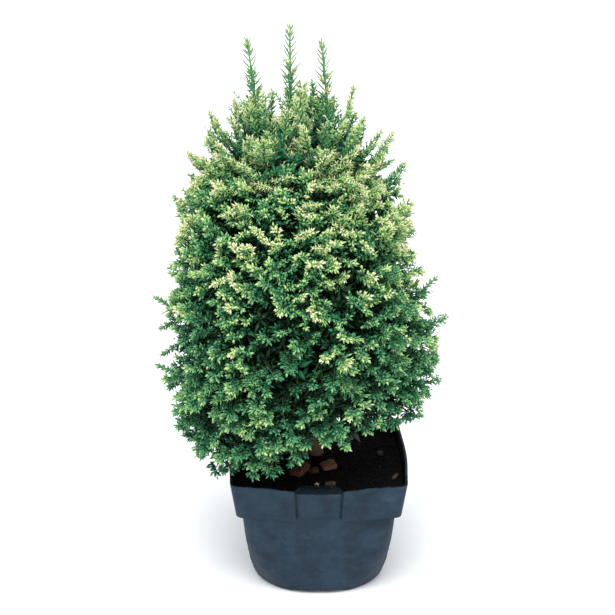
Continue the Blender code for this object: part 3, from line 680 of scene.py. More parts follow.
class Shoot(NamedTuple):
    """A kind of needled shoot: its needles' shape, how far apart their pairs are, its radius and sides."""

    shape: Shape
    spacing: float
    radius: float
    needle_length: float
    sides: int = 3


FEATHER_END = Shoot(NEEDLE, 2.2 * MM, 0.6 * MM, 6.9 * MM)
FEATHER_SIDE = Shoot(NEEDLE, 2.2 * MM, 0.4 * MM, 5.6 * MM)
PLUME_STEM = Shoot(AWL, 2.5 * MM, 1.6 * MM, 14 * MM, 5)
PLUME_CREST = Shoot(AWL, 2.2 * MM, 0.9 * MM, 7.5 * MM, 5)
CREST_LENGTH = 12 * MM
# Side shoots of a plume: (count, lowest and highest share of its length, rise, lengths in millimetres, kind)
PLUME_SIDES = (
    (5, 0.02, 0.22, 1.15, (24, 31), Shoot(NEEDLE, 2.7 * MM, 0.8 * MM, 6.0 * MM)),
    (4, 0.26, 0.60, 1.7, (9, 14), Shoot(NEEDLE, 2.7 * MM, 0.8 * MM, 5.0 * MM)),
)
# Leafy sprigs on a plume: the same without a kind
PLUME_SPRIGS = (12, 0.03, 0.62, 1.5, (6.5, 9.5))


class Growth:
    """Collects the small shapes of one group of pieces, by kind, and joins them."""

    def __init__(self):
        self.meshes = {}

    def add(self, shape, numbers, roots, ways, normals, lengths, widths, thickness=0.6, kinds=COLOURS):
        """Shapes at roots along ways, flat to their normals, each with its kind's number."""
        ways = unit(ways)
        across = unit(np.cross(normals, ways))
        faces = np.cross(ways, across)
        lengths, widths = np.broadcast_to(lengths, len(roots)), np.broadcast_to(widths, len(roots))
        points = roots[:, None, :] + (
            ways[:, None, :] * (shape.points[None, :, 0:1] * lengths[:, None, None])
            + across[:, None, :] * (shape.points[None, :, 1:2] * widths[:, None, None])
            + faces[:, None, :] * (shape.points[None, :, 2:3] * widths[:, None, None] * thickness)
        )
        for number in np.unique(numbers):
            kept = points[numbers == number]
            self.join(kinds[number], kept.reshape(-1, 3), shape.triangles, len(kept), len(shape.points))

    def join(self, kind, points, triangles, copies, stride):
        shifts = (np.arange(copies, dtype=np.int32) * stride)[:, None, None]
        self.meshes.setdefault(kind, []).append((points, (triangles[None] + shifts).reshape(-1, 3)))

    def tubes(self, kind, paths, radii, sides=3):
        """Twigs along paths of equal counts of points."""
        count = paths.shape[1]
        ahead = unit(np.gradient(paths, axis=1))
        side = unit(np.cross(ahead, np.array([0.13, 0.21, 1.0])))
        front = np.cross(side, ahead)
        rings = []
        for k in range(sides):
            angle = math.tau * k / sides
            rings.append(paths + (side * math.cos(angle) + front * math.sin(angle)) * radii[None, :, None])
        points = np.stack(rings, axis=2).reshape(len(paths), -1, 3)
        triangles = []
        last = sides * (count - 1)
        for k in range(1, sides - 1):
            triangles += [(0, k, k + 1), (last, last + k + 1, last + k)]
        for i in range(count - 1):
            for k in range(sides):
                a, b = sides * i + k, sides * i + (k + 1) % sides
                triangles += [(a, a + sides, b), (b, a + sides, b + sides)]
        self.join(kind, points.reshape(-1, 3), np.array(triangles, np.int32), len(paths), sides * count)

    def pieces(self, group, finishes, nodes, slots):
        """One joined piece for each kind, which stands for the nodes."""
        for kind in sorted(self.meshes):
            parts = self.meshes[kind]
            starts = np.cumsum([0] + [len(points) for points, _ in parts])
            points = np.concatenate([points for points, _ in parts])
            triangles = np.concatenate([tris + start for (_, tris), start in zip(parts, starts)])
            piece = piece_from_arrays(f"{group}_{kind}", points, triangles, finishes[kind])
            settle(piece, nodes)


def piece_from_arrays(name, points, triangles, finish):
    mesh = bpy.data.meshes.new(name)
    mesh.vertices.add(len(points))
    mesh.vertices.foreach_set("co", points.astype(np.float32).ravel())
    mesh.loops.add(len(triangles) * 3)
    mesh.loops.foreach_set("vertex_index", triangles.astype(np.int32).ravel())
    mesh.polygons.add(len(triangles))
    mesh.polygons.foreach_set("loop_start", np.arange(0, len(triangles) * 3, 3, dtype=np.int32))
    mesh.update(calc_edges=True)
    mesh.materials.append(finish)
    piece = bpy.data.objects.new(name, mesh)
    bpy.context.scene.collection.objects.link(piece)
    return piece


def settle(piece, nodes=()):
    """Makes a piece ride with the plant and the nodes it stands for."""
    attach(piece, BODY)
    if nodes:
        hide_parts(*nodes)


# Growth of the foliage


def curve_points(starts, bends, tips, share):
    """Places and directions at a share of quadratic curves."""
    share = np.broadcast_to(share, len(tips))[:, None]
    places = starts * (1 - share) ** 2 + bends * 2 * share * (1 - share) + tips * share**2
    ways = (bends - starts) * (1 - share) + (tips - bends) * share
    return places, unit(ways)


def curve_paths(starts, bends, tips):
    """Paths along quadratic curves, for tubes."""
    return np.stack([curve_points(starts, bends, tips, share)[0] for share in RING_SHARES], axis=1)


def swells(points, per_metre):
    """A value between -1 and 1 that swells and sinks so many times to a metre."""
    return np.array([noise.noise(Vector(point) * per_metre) for point in points])


def add_places(values, points, places):
    """Values with more added near each of the places (x, y, z, reach, how much)."""
    for *place, reach, more in places:
        away = np.linalg.norm(points - np.array(place), axis=1)
        values = values + more * np.exp(-((away / reach) ** 2))
    return values


def gold_of(tips, rng):
    """How far a branchlet's tips turn to cream: by patches and clumps, and more towards the top."""
    patches = PATCH_GOLD * swells(tips, GOLD_PATCHES_PER_METRE)
    high = np.clip((tips[:, 2] - GOLD_MIDDLE) / GOLD_SPAN, -1.0, 1.0)
    fringe = np.clip((FRINGE_TOP - tips[:, 2]) / FRINGE_SPAN, 0.0, 1.0)
    gold = USUAL_GOLD + patches + CLUMP_GOLD * swells(tips, CLUMPS_PER_METRE)
    # Less gold at the lower fringe is partly painted shade under the crown
    gold = gold + HIGH_GOLD * high - FRINGE_GOLD * fringe
    gold = gold + rng.normal(0, CHANCE_GOLD, len(tips))
    gold = add_places(gold, tips, GOLD_PLACES)
    return np.minimum(gold, by_row(tips[:, 2], MOST_GOLD_ROWS))


def tint(lightness, gold, depth, rosy, rng):
    """Number of a leaf's colour: lighter with gold, and darker inside the crown as painted shade."""
    # Painted shade: leaves deeper under the outline get darker colours
    deeper = np.clip(depth - SHADE_FROM, 0.0, 1.0) * SHADE_PER_METRE
    value = lightness + GOLD_LIGHTNESS * (gold - NEUTRAL_GOLD) - deeper
    value = value + rng.normal(0, CHANCE_LIGHTNESS, len(lightness))
    number = np.digitize(value, COLOUR_STEPS)
    return np.where((number == CREAM) & rosy, BLUSH, number)


def grow_sprigs(growth, kind, roots, ways, normals, lengths, youth, gold, rng, size=1.0):
    """Short axes with pairs of leaves that lean forward, and a leaf at the tip."""
    count = len(roots)
    if not count:
        return
    depth = outline_depth(roots + ways * lengths[:, None])
    across = unit(np.cross(normals, ways))
    faces = np.cross(ways, across)
    rosy = rng.random(count) < BLUSH_SHARE
    axis_tint = tint(0.20 + 0.35 * youth, gold, depth, rosy, rng)
    growth.add(PLAIN_LEAF, axis_tint, roots, ways, normals, lengths * 0.92, SPRIG_AXIS_WIDTH)
    for pair in range(kind.pairs + 1):
        share = (pair + 0.7) / (kind.pairs + 0.9)
        terminal = pair == kind.pairs
        lean = math.radians(kind.first_lean + (kind.last_lean - kind.first_lean) * share)
        roll = math.radians(kind.roll * pair) + rng.normal(0, 0.25, count)
        start = roots + ways * (lengths * share * 0.85)[:, None]
        for side in (0.0, math.pi):
            if terminal and side:
                continue
            spread = np.zeros(count) if terminal else lean + rng.normal(0, 0.12, count)
            out = between(across, faces, roll + side)
            leaf_ways = unit(between(ways, out, spread) + rng.normal(0, 0.08, (count, 3)))
            flat = unit(np.cross(leaf_ways, out + rng.normal(0, 0.6, (count, 3))))
            number = tint(0.05 + 0.52 * share + 0.48 * youth, gold, depth, rosy, rng)
            leaf = kind.leaf_length * (1.08 - 0.30 * share) * rng.uniform(0.85, 1.15, count) * size
            growth.add(
                kind.shape, number, start, leaf_ways, flat, leaf, kind.leaf_width * size, kind.thickness
            )


def branch_directions(tips, rows, swing, pitch_spread, rng):
    """Directions in which branchlets end: away from the crown's axis, swung, and pitched by height."""
    count = len(tips)
    out = tips - crown_axis(tips[:, 2])
    azimuth = np.arctan2(out[:, 1], out[:, 0]) + np.radians(rng.uniform(-swing, swing, count))
    pitch = by_row(tips[:, 2], rows) + rng.uniform(-pitch_spread, pitch_spread, count)
    return between(level_ways(azimuth), UP, np.radians(pitch))


def grow_feathers(growth, starts, bends, tips, gold, rng):
    """Needled ends of branchlets, each with shorter shoots that fork off by turns on both sides."""
    count = len(tips)
    if not count:
        return
    reach = np.linalg.norm(tips - starts, axis=1)
    feet, _ = curve_points(starts, bends, tips, 1.0 - np.minimum(FEATHER_LENGTH / reach, 0.7))
    ways = unit(tips - feet)
    across = turned(unit(np.cross(ways, UP)), ways, rng.uniform(-0.6, 0.6, count))
    grow_shoots(growth, FEATHER_END, feet, tips, across, gold, rng)
    side = rng.choice([-1.0, 1.0], count)
    for number, (back, length) in enumerate(FEATHER_SIDES):
        angle = np.radians(rng.uniform(26, 42, count))
        aside = across * (side * (-1.0) ** number)[:, None]
        roots = tips - ways * back * MM
        away = between(ways, aside, angle)
        ends = roots + away * (length * MM * rng.uniform(0.8, 1.15, count))[:, None]
        grow_shoots(growth, FEATHER_SIDE, roots, ends, across, gold, rng)


def grow_branchlets(growth, tips, ends, own, masses, needled, slim, free, gold, rng):
    """Curved branchlets from the boughs to their tips, with sprigs along their outer part.

    The needled ones bear needles, the slim ones are small shoots, the free ones may leave the outline,
    and one whose end sprig doesn't fit is left out, with its twig.
    """
    count = len(tips)
    middles = np.array([mass.middle for mass in masses])[own]
    stems = np.array([mass.stem_start for mass in masses])[own]
    starts = stems + (middles - stems) * rng.uniform(0.6, 1.0, count)[:, None]
    reach = np.linalg.norm(tips - starts, axis=1)
    bends = tips - ends * (reach * 0.45)[:, None]
    steep = upright_share(tips)
    phase = rng.choice([-1.0, 1.0], count)
    roll = rng.uniform(-1.0, 1.0, count) * (1.1 - 0.5 * steep)
    feathered = slim | (needled & (steep > FEATHERY_FROM))
    grow_feathers(growth, starts[feathered], bends[feathered], tips[feathered], gold[feathered], rng)
    leafy = np.ones(count, bool)
    sprigs = FINE_SPRIGS + COARSE_SPRIGS
    for number, (back, length) in enumerate(sprigs):
        fine = number < len(FINE_SPRIGS)
        share = np.clip(1.0 - back * MM / reach * (1.0 + 0.25 * steep), 0.05, 1.0)
        roots, ways = curve_points(starts, bends, tips, share)
        across = turned(unit(np.cross(ways, UP)), ways, roll)
        normals = np.cross(across, ways)
        side = phase * (-1.0) ** number
        angle = np.zeros(count)
        if number:
            angle = np.radians(rng.uniform(36, 58, count)) * (1.0 - 0.35 * steep)
        sprig_ways = unit(
            ways * np.cos(angle)[:, None]
            + across * (side * np.sin(angle))[:, None]
            + normals * rng.normal(0.0, 0.25, count)[:, None]
        )
        sprig_normals = unit(np.cross(sprig_ways, across + rng.normal(0, 0.5, (count, 3))))
        lengths = length * MM * rng.uniform(0.85, 1.12, count) * (1.0 + 0.25 * steep)
        if not number:
            roots = roots - sprig_ways * (lengths * 0.6)[:, None]
        far = roots + sprig_ways * lengths[:, None]
        unbound = free | (steep > FEATHERY_FROM)
        fits = (outline_depth(far) > -STAND_OUT) | unbound
        fits &= (neighbour_depth(far, own, masses) > -REACH_OVER) | unbound
        fits &= back * MM < reach * 0.8
        fits &= above_edge(far, rng) & leafy
        if not number:
            leafy = fits | feathered
        if fine:
            fits &= ~feathered
        youth = np.full(count, (1.0 - number / len(sprigs)) ** 1.4)
        size = np.where(slim, 0.7, 1.0)
        if not fine:
            chosen = ((COARSE_SPRIG, fits),)
        else:
            chosen = ((SCALE_SPRIG, fits & ~needled), (NEEDLE_SPRIG, fits & needled))
        for kind, kept in chosen:
            grow_sprigs(
                growth, kind, roots[kept], sprig_ways[kept], sprig_normals[kept], lengths[kept],
                youth[kept], gold[kept], rng, size[kept],
            )
    growth.tubes("twigs", curve_paths(starts, bends, tips)[leafy], TWIG_RADII)


def hollows(points):
    """How far uneven growth pushes places on the outline inwards. It is negative where the crown swells."""
    push = swells(points, SWELLS_PER_METRE) * SWELL_DEPTH - swells(points, CLUMPS_PER_METRE) * CLUMP_DEPTH
    return add_places(push, points, HOLLOWS)


def grow_tier(growth, tier, masses, sizes, rng):
    """Branchlets of a tier's masses: those of the outline's lattice, the long shoots and the hanging ones."""
    tips = outline_lattice(sizes.branchlets)
    tips = tips + rng.normal(0, 2.4 * MM, tips.shape)
    own = owners(tips, masses)
    kept = in_tier(tier, own, masses)
    tips, own = tips[kept], own[kept]
    ends = branch_directions(tips, PITCH_ROWS, 50, 20, rng)
    steep = upright_share(tips)
    inset = by_row(tips[:, 2], INSET_ROWS)
    inset = inset + rng.uniform(-0.8, 1.0, len(tips)) * sizes.raggedness + hollows(tips)
    inset = np.maximum(inset, LEAST_INSET)
    deeper = rng.random(len(tips)) < DEEPER_SHARE
    inset[deeper] += rng.uniform(*DEEPER, deeper.sum())
    standing = ~deeper & (rng.random(len(tips)) < STANDING_LOW + STANDING_MORE * steep)
    inset[standing] = -(1.0 + 5.0 * steep[standing]) * rng.uniform(-0.8, 1.0, standing.sum()) * MM
    out = tips - crown_axis(tips[:, 2])
    pushed = unit(unit(out) * (1.0 - 0.6 * steep)[:, None] + ends * steep[:, None])
    tips = tips - pushed * inset[:, None]
    kept = above_edge(tips, rng)
    tips, ends, own, standing = tips[kept], ends[kept], own[kept], standing[kept]
    high = risen(tips[:, 2], NEEDLES_FROM, NEEDLES_SPAN)
    needled = (rng.random(len(tips)) < NEEDLED_LOW + NEEDLED_MORE * high) | standing
    gold = gold_of(tips, rng)
    gold[standing] = np.maximum(gold[standing], STANDING_GOLD)
    grow_branchlets(growth, tips, ends, own, masses, needled, standing, needled, gold, rng)
    grow_listed(growth, tier, masses, LONG_SHOOTS, SHOOT_PITCH_ROWS, True, rng)
    grow_listed(growth, tier, masses, HANGING_TIPS, PITCH_ROWS, False, rng)


def grow_listed(growth, tier, masses, places, rows, slim, rng):
    """Branchlets that end at a list of places: slim shoots that rise, or leafy ones that hang."""
    tips = np.array(places)
    own = owners(tips, masses)
    kept = in_tier(tier, own, masses)
    tips, own = tips[kept], own[kept]
    if not len(tips):
        return
    ends = branch_directions(tips, rows, 12, 6, rng)
    slim = np.full(len(tips), slim)
    gold = gold_of(tips, rng)
    gold[slim] = np.maximum(gold[slim], STANDING_GOLD)
    grow_branchlets(growth, tips, ends, own, masses, slim, slim, np.ones(len(tips), bool), gold, rng)


def grow_boughs(growth, masses, rng):
    """The bough from the trunk to the middle of each mass."""
    shares = np.linspace(0.0, 1.0, 6)
    paths = []
    for mass in masses:
        run = mass.middle - mass.stem_start
        paths.append([mass.stem_start + run * s - BOUGH_SAG * math.sin(math.pi * s) for s in shares])
    paths = np.array(paths) + rng.normal(0, 0.3 * MM, (len(masses), len(shares), 3))
    growth.tubes("boughs", paths, np.linspace(*BOUGH_RADII, len(shares)) * MM, sides=6)


def grow_inside(growth, tier, masses, sizes, rng):
    """Tufts of old leaves under the outline, coloured dark as painted shade, which close the masses against
    the light.
    """
    points = outline_lattice(sizes.fillers)
    out = points - crown_axis(points[:, 2])
    inward = rng.random(len(points))
    points = points - unit(out) * (TUFT_DEPTH + TUFT_SPREAD * inward)[:, None] * MM
    points = points + rng.normal(0, 3 * MM, points.shape)
    high = upright_share(points)
    kept = in_tier(tier, owners(points, masses), masses)
    kept &= (outline_depth(points) > (18 + 14 * high) * MM) & above_edge(points - UP * 6 * MM, rng)
    points, high, inward = points[kept], high[kept], inward[kept]
    # Painted shade: the tufts take the shade colour, and the lighter deep colour more often near the top
    number = np.where(rng.random(len(points)) < 0.15 + 0.75 * high, DEEP, SHADE)
    size = (1.0 + 0.7 * inward) * (1.0 - 0.4 * high)
    for _ in range(TUFT_LEAVES):
        ways = unit(rng.normal(0, 1, points.shape))
        normals = rng.normal(0, 1, points.shape)
        lengths = rng.uniform(*TUFT_LENGTHS, len(points)) * size * MM
        growth.add(PLAIN_LEAF, number, points, ways, normals, lengths, TUFT_WIDTH * size * MM)


def grow_shoots(growth, kind, feet, tips, facing, gold, rng):
    """Shoots of a kind: stems with pairs of needles that point forward all the way up."""
    count = len(feet)
    lengths = np.linalg.norm(tips - feet, axis=1)
    ways = unit(tips - feet)
    across = unit(np.cross(facing, ways))
    faces = np.cross(ways, across)
    paths = feet[:, None, :] + (tips - feet)[:, None, :] * RING_SHARES[None, :, None]
    growth.tubes("stems", paths, kind.radius * np.linspace(1.0, 0.3, len(RING_SHARES)), kind.sides)
    outside, plain = np.zeros(count), np.zeros(count, bool)
    for row in range(int(lengths.max() / kind.spacing)):
        share = (row + 0.5) * kind.spacing / lengths
        there = share < 0.985
        spin = math.pi / 2 * row + rng.normal(0, 0.22, count)
        for half in (0.0, math.pi):
            out = between(across, faces, spin + half)
            lean = rng.uniform(0.58, 0.90, count) * (1.0 - 0.40 * share**4)
            needle_ways = between(ways, out, lean)
            size = kind.needle_length * rng.uniform(0.8, 1.1, count) * (1.0 - 0.45 * share**4)
            start = feet + ways * (lengths * share)[:, None]
            number = tint(0.34 + 0.50 * share, gold, outside, plain, rng)
            growth.add(
                kind.shape, number[there], start[there], needle_ways[there], -out[there], size[there],
                NEEDLE_WIDTH, 1.0,
            )
    number = tint(np.full(count, 0.9), gold, outside, plain, rng)
    ends = tips - ways * 3 * MM
    growth.add(kind.shape, number, ends, ways, facing, 0.6 * kind.needle_length, NEEDLE_WIDTH, 1.0)


def grow_plume(growth, foot, tip, rng):
    """A leader's plume: long needles, a fuller tip, slender and short side shoots, and leafy sprigs."""
    front = np.array([[0.0, -1.0, 0.0]])
    grow_shoots(growth, PLUME_STEM, foot[None], tip[None], front, np.array([0.60]), rng)
    crest = tip - unit(tip - foot) * CREST_LENGTH
    grow_shoots(growth, PLUME_CREST, crest[None], tip[None], front, np.array([0.92]), rng)
    for count, low, high, rise, lengths, kind in PLUME_SIDES:
        feet = foot + (tip - foot) * np.linspace(low, high, count)[:, None]
        out, sideways = ways_out(count, rise, rng)
        ends = feet + out * rng.uniform(*lengths, count)[:, None] * MM
        gold = 0.74 + rng.normal(0, 0.14, count)
        grow_shoots(growth, kind, feet, ends, sideways, gold, rng)
    count, low, high, rise, lengths = PLUME_SPRIGS
    feet = foot + (tip - foot) * np.linspace(low, high, count)[:, None]
    out, sideways = ways_out(count, rise, rng)
    gold = 0.80 + rng.normal(0, 0.20, count)
    lengths = rng.uniform(*lengths, count) * MM
    grow_sprigs(growth, NEEDLE_SPRIG, feet, out, sideways, lengths, np.full(count, 0.8), gold, rng)


# Finishes


def plain_finish(name, colour, roughness, specular=0.35):
    """The finish of this name in one plain colour, made the first time it is asked for."""
    made = bpy.data.materials.get(name)
    if made:
        return made
    made = bpy.data.materials.new(name)
    made.use_nodes = True
    shader = made.node_tree.nodes["Principled BSDF"]
    shader.inputs["Base Color"].default_value = (*colour, 1.0)
    shader.inputs["Roughness"].default_value = roughness
    shader.inputs["Specular IOR Level"].default_value = specular
    return made


def leaf_finishes(colours):
    finishes = {kind: plain_finish(f"leaf_{kind}", getattr(colours, kind), 0.6) for kind in COLOURS}
    finishes["twigs"] = plain_finish("twig_bark", colours.twig, 0.8)
    finishes["stems"] = plain_finish("green_stem", colours.middle, 0.6)
    finishes["boughs"] = bark_finish()
    return finishes


class NodeFinish:
    """A material built node by node in the object's own coordinates."""

    def __init__(self, name, roughness, specular=0.5):
        self.material = bpy.data.materials.new(name)
        self.material.use_nodes = True
        self.tree = self.material.node_tree
        self.shader = self.tree.nodes["Principled BSDF"]
        self.shader.inputs["Roughness"].default_value = roughness
        self.shader.inputs["Specular IOR Level"].default_value = specular
        self.coords = self.tree.nodes.new("ShaderNodeTexCoord").outputs["Object"]

    def link(self, source, target):
        self.tree.links.new(source, target)

    def noise(self, scale, detail=4.0, roughness=0.55, stretch=None):
        """Noise between 0 and 1, where stretch makes the pattern coarser along an axis."""
        node = self.tree.nodes.new("ShaderNodeTexNoise")
        node.inputs["Scale"].default_value = scale
        node.inputs["Detail"].default_value = detail
        node.inputs["Roughness"].default_value = roughness
        source = self.coords
        if stretch:
            mapping = self.tree.nodes.new("ShaderNodeMapping")
            mapping.inputs["Scale"].default_value = stretch
            self.link(self.coords, mapping.inputs["Vector"])
            source = mapping.outputs["Vector"]
        self.link(source, node.inputs["Vector"])
        return node.outputs["Fac"]

    def ramp(self, source, stops):
        """Colours at places along a value from 0 to 1."""
        node = self.tree.nodes.new("ShaderNodeValToRGB")
        elements = node.color_ramp.elements
        while len(elements) < len(stops):
            elements.new(0.5)
        for element, (place, colour) in zip(elements, stops):
            element.position = place
            element.color = (*colour, 1.0)
        self.link(source, node.inputs["Fac"])
        return node.outputs["Color"]

    def blend(self, share, first, second):
        """Mix of two colours, each a socket or a fixed colour."""
        node = self.tree.nodes.new("ShaderNodeMix")
        node.data_type = "RGBA"
        self.link(share, node.inputs["Factor"])
        for value, socket in ((first, node.inputs[6]), (second, node.inputs[7])):
            if isinstance(value, bpy.types.NodeSocket):
                self.link(value, socket)
            else:
                socket.default_value = (*value, 1.0)
        return node.outputs[2]

    def spread(self, source, low, high):
        """A value from 0 to 1 carried over to a range."""
        node = self.tree.nodes.new("ShaderNodeMapRange")
        node.inputs["To Min"].default_value = low
        node.inputs["To Max"].default_value = high
        self.link(source, node.inputs["Value"])
        return node.outputs["Result"]

    def bump(self, source, distance, strength=1.0):
        node = self.tree.nodes.new("ShaderNodeBump")
        node.inputs["Distance"].default_value = distance
        node.inputs["Strength"].default_value = strength
        previous = self.shader.inputs["Normal"].links
        if previous:
            self.link(previous[0].from_socket, node.inputs["Normal"])
        self.link(source, node.inputs["Height"])
        self.link(node.outputs["Normal"], self.shader.inputs["Normal"])

    def base(self, source):
        self.link(source, self.shader.inputs["Base Color"])


def bark_finish():
    found = bpy.data.materials.get("fibrous_bark")
    if found:
        return found
    made = NodeFinish("fibrous_bark", 0.85)
    strips = made.noise(520.0, 6.0, 0.65, (1.0, 1.0, 0.16))
    blotches = made.noise(70.0)
    dark, light = srgb(58, 38, 28), srgb(146, 104, 74)
    made.base(made.blend(blotches, made.ramp(strips, ((0.32, dark), (0.68, light))), srgb(92, 64, 48)))
    made.bump(strips, 0.9 * MM, 0.9)
    return made.material


def plastic_finish(looks):
    made = NodeFinish("moulded_plastic", 0.6, 0.2)
    cloudy = made.noise(46.0, 9.0, 0.68)
    plain = tuple(looks.plastic)
    darker = tuple(0.68 * c for c in plain)
    paler = tuple(1.30 * c for c in plain)
    streaks = made.noise(70.0, 8.0, 0.7, (0.5, 0.5, 1.0))
    scuffs = made.ramp(streaks, ((0.56, (0.0, 0.0, 0.0)), (0.82, (0.55, 0.55, 0.55))))
    clouded = made.ramp(cloudy, ((0.38, darker), (0.50, plain), (0.62, paler)))
    made.base(made.blend(scuffs, clouded, tuple(looks.scuff)))
    made.link(made.spread(cloudy, 0.52, 0.70), made.shader.inputs["Roughness"])
    made.bump(made.noise(2600.0, 2.0), 0.12 * MM, 0.5)
    made.bump(streaks, 0.25 * MM, 0.25)
    return made.material


def inside_finish(name, colour):
    """Plastic inside the pot in a dark colour that is painted shade, with a film of peat dust."""
    made = NodeFinish(name, 0.6, 0.08)
    dust = made.noise(260.0, 6.0, 0.65)
    plain = tuple(colour)
    made.base(made.ramp(dust, ((0.45, plain), (0.75, tuple(2.0 * c for c in plain)))))
    made.bump(dust, 0.3 * MM, 0.4)
    return made.material


def peat_finish(looks):
    made = NodeFinish("damp_peat", 0.92, 0.06)
    crumbs = made.noise(420.0, 8.0, 0.7)
    made.base(made.ramp(crumbs, ((0.42, tuple(looks.peat)), (0.74, tuple(looks.peat_light)))))
    made.bump(crumbs, 1.4 * MM, 1.0)
    return made.material


def chip_finish(name, light, dark):
    made = NodeFinish(name, 0.8)
    grain = made.noise(600.0, 6.0, 0.6, (1.0, 0.3, 1.0))
    made.base(made.ramp(grain, ((0.35, dark), (0.65, light))))
    made.bump(grain, 0.4 * MM, 0.7)
    return made.material


# Modelling by hand


def select_only(piece):
    bpy.ops.object.select_all(action="DESELECT")
    piece.select_set(True)
    bpy.context.view_layer.objects.active = piece


def edit(piece):
    select_only(piece)
    bpy.ops.object.mode_set(mode="EDIT")
    bpy.ops.mesh.select_all(action="SELECT")


def leave_edit():
    bpy.ops.mesh.select_all(action="SELECT")
    bpy.ops.mesh.normals_make_consistent(inside=False)
    bpy.ops.object.mode_set(mode="OBJECT")


def modify(piece, kind, **settings):
    """Adds a modifier and applies it."""
    select_only(piece)
    modifier = piece.modifiers.new(kind.title(), kind)
    for key, value in settings.items():
        setattr(modifier, key, value)
    bpy.ops.object.modifier_apply(modifier=modifier.name)


def roughen(piece, name, size, strength, **settings):
    """Pushes a piece's surface in and out by clouds of a size."""
    texture = bpy.data.textures.new(name, "CLOUDS")
    texture.noise_scale = size
    texture.noise_depth = 3
    modify(piece, "DISPLACE", texture=texture, texture_coords="LOCAL", strength=strength, **settings)


def bevel(piece, width, angle):
    modify(piece, "BEVEL", width=width, segments=2, limit_method="ANGLE", angle_limit=math.radians(angle))


def smooth_under(piece, angle):
    select_only(piece)
    bpy.ops.object.shade_smooth_by_angle(angle=math.radians(angle))


def fresh_piece(name):
    """The primitive that was just added, named, with its place in its mesh."""
    piece = bpy.context.active_object
    piece.name = name
    piece.data.name = name
    select_only(piece)
    bpy.ops.object.transform_apply(location=True, rotation=True, scale=True)
    return piece


def copy_of_node(node, name):
    """A separate mesh like a node's, with its faces joined up again."""
    piece = bpy.data.objects.new(name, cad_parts[node].data.copy())
    bpy.context.scene.collection.objects.link(piece)
    piece.data.materials.clear()
    select_only(piece)
    bpy.ops.mesh.customdata_custom_splitnormals_clear()
    edit(piece)
    bpy.ops.mesh.remove_doubles(threshold=0.002 * MM)
    leave_edit()
    return piece


def from_mid_side(azimuth):
    """Degrees from the middle of the pot's nearest side, from 0 to 45."""
    return abs((math.degrees(azimuth) + 45.0) % 90.0 - 45.0)


def square_radius(off, half, corner, bulge):
    """Distance from the axis to a rounded square whose sides bow out."""
    across, along = math.cos(math.radians(off)), math.sin(math.radians(off))
    radius = half / across
    flat = half - corner
    if along * radius > flat:
        toward = flat * (across + along)
        radius = toward + math.sqrt(max(toward * toward - 2 * flat * flat + corner * corner, 0.0))
    return radius + bulge * (1.0 - (along / across) ** 2) * across


def body_radius(off, z):
    """Outer radius of the pot under its band, from a round foot to a nearly square top."""
    share = min(max(z / BAND_BOTTOM, 0.0), 1.0)
    half = FOOT_HALF + (BODY_TOP_HALF - FOOT_HALF) * share
    corner = BODY_TOP_CORNER + (half - BODY_TOP_CORNER) * (1.0 - share) ** ROUNDING_POWER
    return square_radius(off, half, corner, SIDE_BULGE * 0.5 * share)


def wall_turn(x, y):
    """Degrees from the middle of the pot's side, and whether that is in a notch at the front or back."""
    off = from_mid_side(math.atan2(y, x))
    return off, off < NOTCH_OFF and abs(y) > abs(x)


def band_radius(off, notched, z):
    """Outer radius of the pot's band, set back at the notches."""
    share = (z - BAND_BOTTOM) / (POT_HEIGHT - LIP_SAG - BAND_BOTTOM)
    half = BAND_BOTTOM_HALF + (LIP_HALF - BAND_BOTTOM_HALF) * share
    radius = square_radius(off, half, LIP_CORNER, SIDE_BULGE * (0.6 + 0.4 * share))
    return radius - NOTCH_DEPTH if notched else radius


def band_drop(x, y):
    """How much lower the band hangs beside the notches at the front and back, less towards the corners; on
    the plain sides it doesn't drop.
    """
    off = from_mid_side(math.atan2(y, x)) if abs(y) > abs(x) else BAND_DROP_ROWS[-1, 0]
    return float(by_row(off, BAND_DROP_ROWS))


def round_pot(pot):
    """Cuts more rows and columns into the pot's wall, sets them on its true curves and drops the band."""
    planes = [((0.0, 0.0, level), (0.0, 0.0, 1.0)) for level in POT_LEVELS]
    for middle in (0.0, 90.0):
        for off in POT_TURNS:
            for azimuth in (math.radians(middle - off), math.radians(middle + off)):
                planes.append(((0.0, 0.0, 0.0), (-math.sin(azimuth), math.cos(azimuth), 0.0)))
    for place, normal in planes:
        edit(pot)
        bpy.ops.mesh.bisect(plane_co=place, plane_no=normal)
        bpy.ops.object.mode_set(mode="OBJECT")
    for vertex in pot.data.vertices:
        x, y, z = vertex.co
        off, notched = wall_turn(x, y)
        banded = z > BAND_BOTTOM - LEVEL_REACH
        if banded:
            wanted = band_radius(off, notched, z)
        else:
            wanted = body_radius(off, z) - (FOOT_EDGE if z < LEVEL_REACH else 0.0)
        if math.hypot(x, y) < wanted - WALL_REACH:
            continue
        if banded and z < BAND_BOTTOM + LEVEL_REACH:
            z -= band_drop(x, y)
            wanted = band_radius(off, notched, z)
        if z < NOTCH_LIP or not notched:
            scale = wanted / math.hypot(x, y)
            vertex.co = (x * scale, y * scale, z)


def darken_inside(pot):
    """Paints shade on the inner walls, shade with peat dust on the notches' shelves, and shade on their
    slanted sides.
    """
    for face in pot.data.polygons:
        x, y, z = face.center
        if z <= BAND_BOTTOM:
            continue
        off, notched = wall_turn(x, y)
        by_notch = abs(y) > abs(x) and abs(off - NOTCH_OFF) < NOTCH_SIDE_TURN
        # Inner walls get painted shade, and the notches' shelves painted shade with peat dust
        if math.hypot(x, y) < band_radius(off, notched, z) - WALL_REACH:
            face.material_index = DUST_AND_SHADE if notched and face.normal.z > SHELF_SLOPE else SHADED_INSIDE
        # The notches' slanted sides take the shelf's dark finish as painted shade in their creases
        elif by_notch and abs(face.normal.x) > SIDE_SLOPE:
            face.material_index = DUST_AND_SHADE


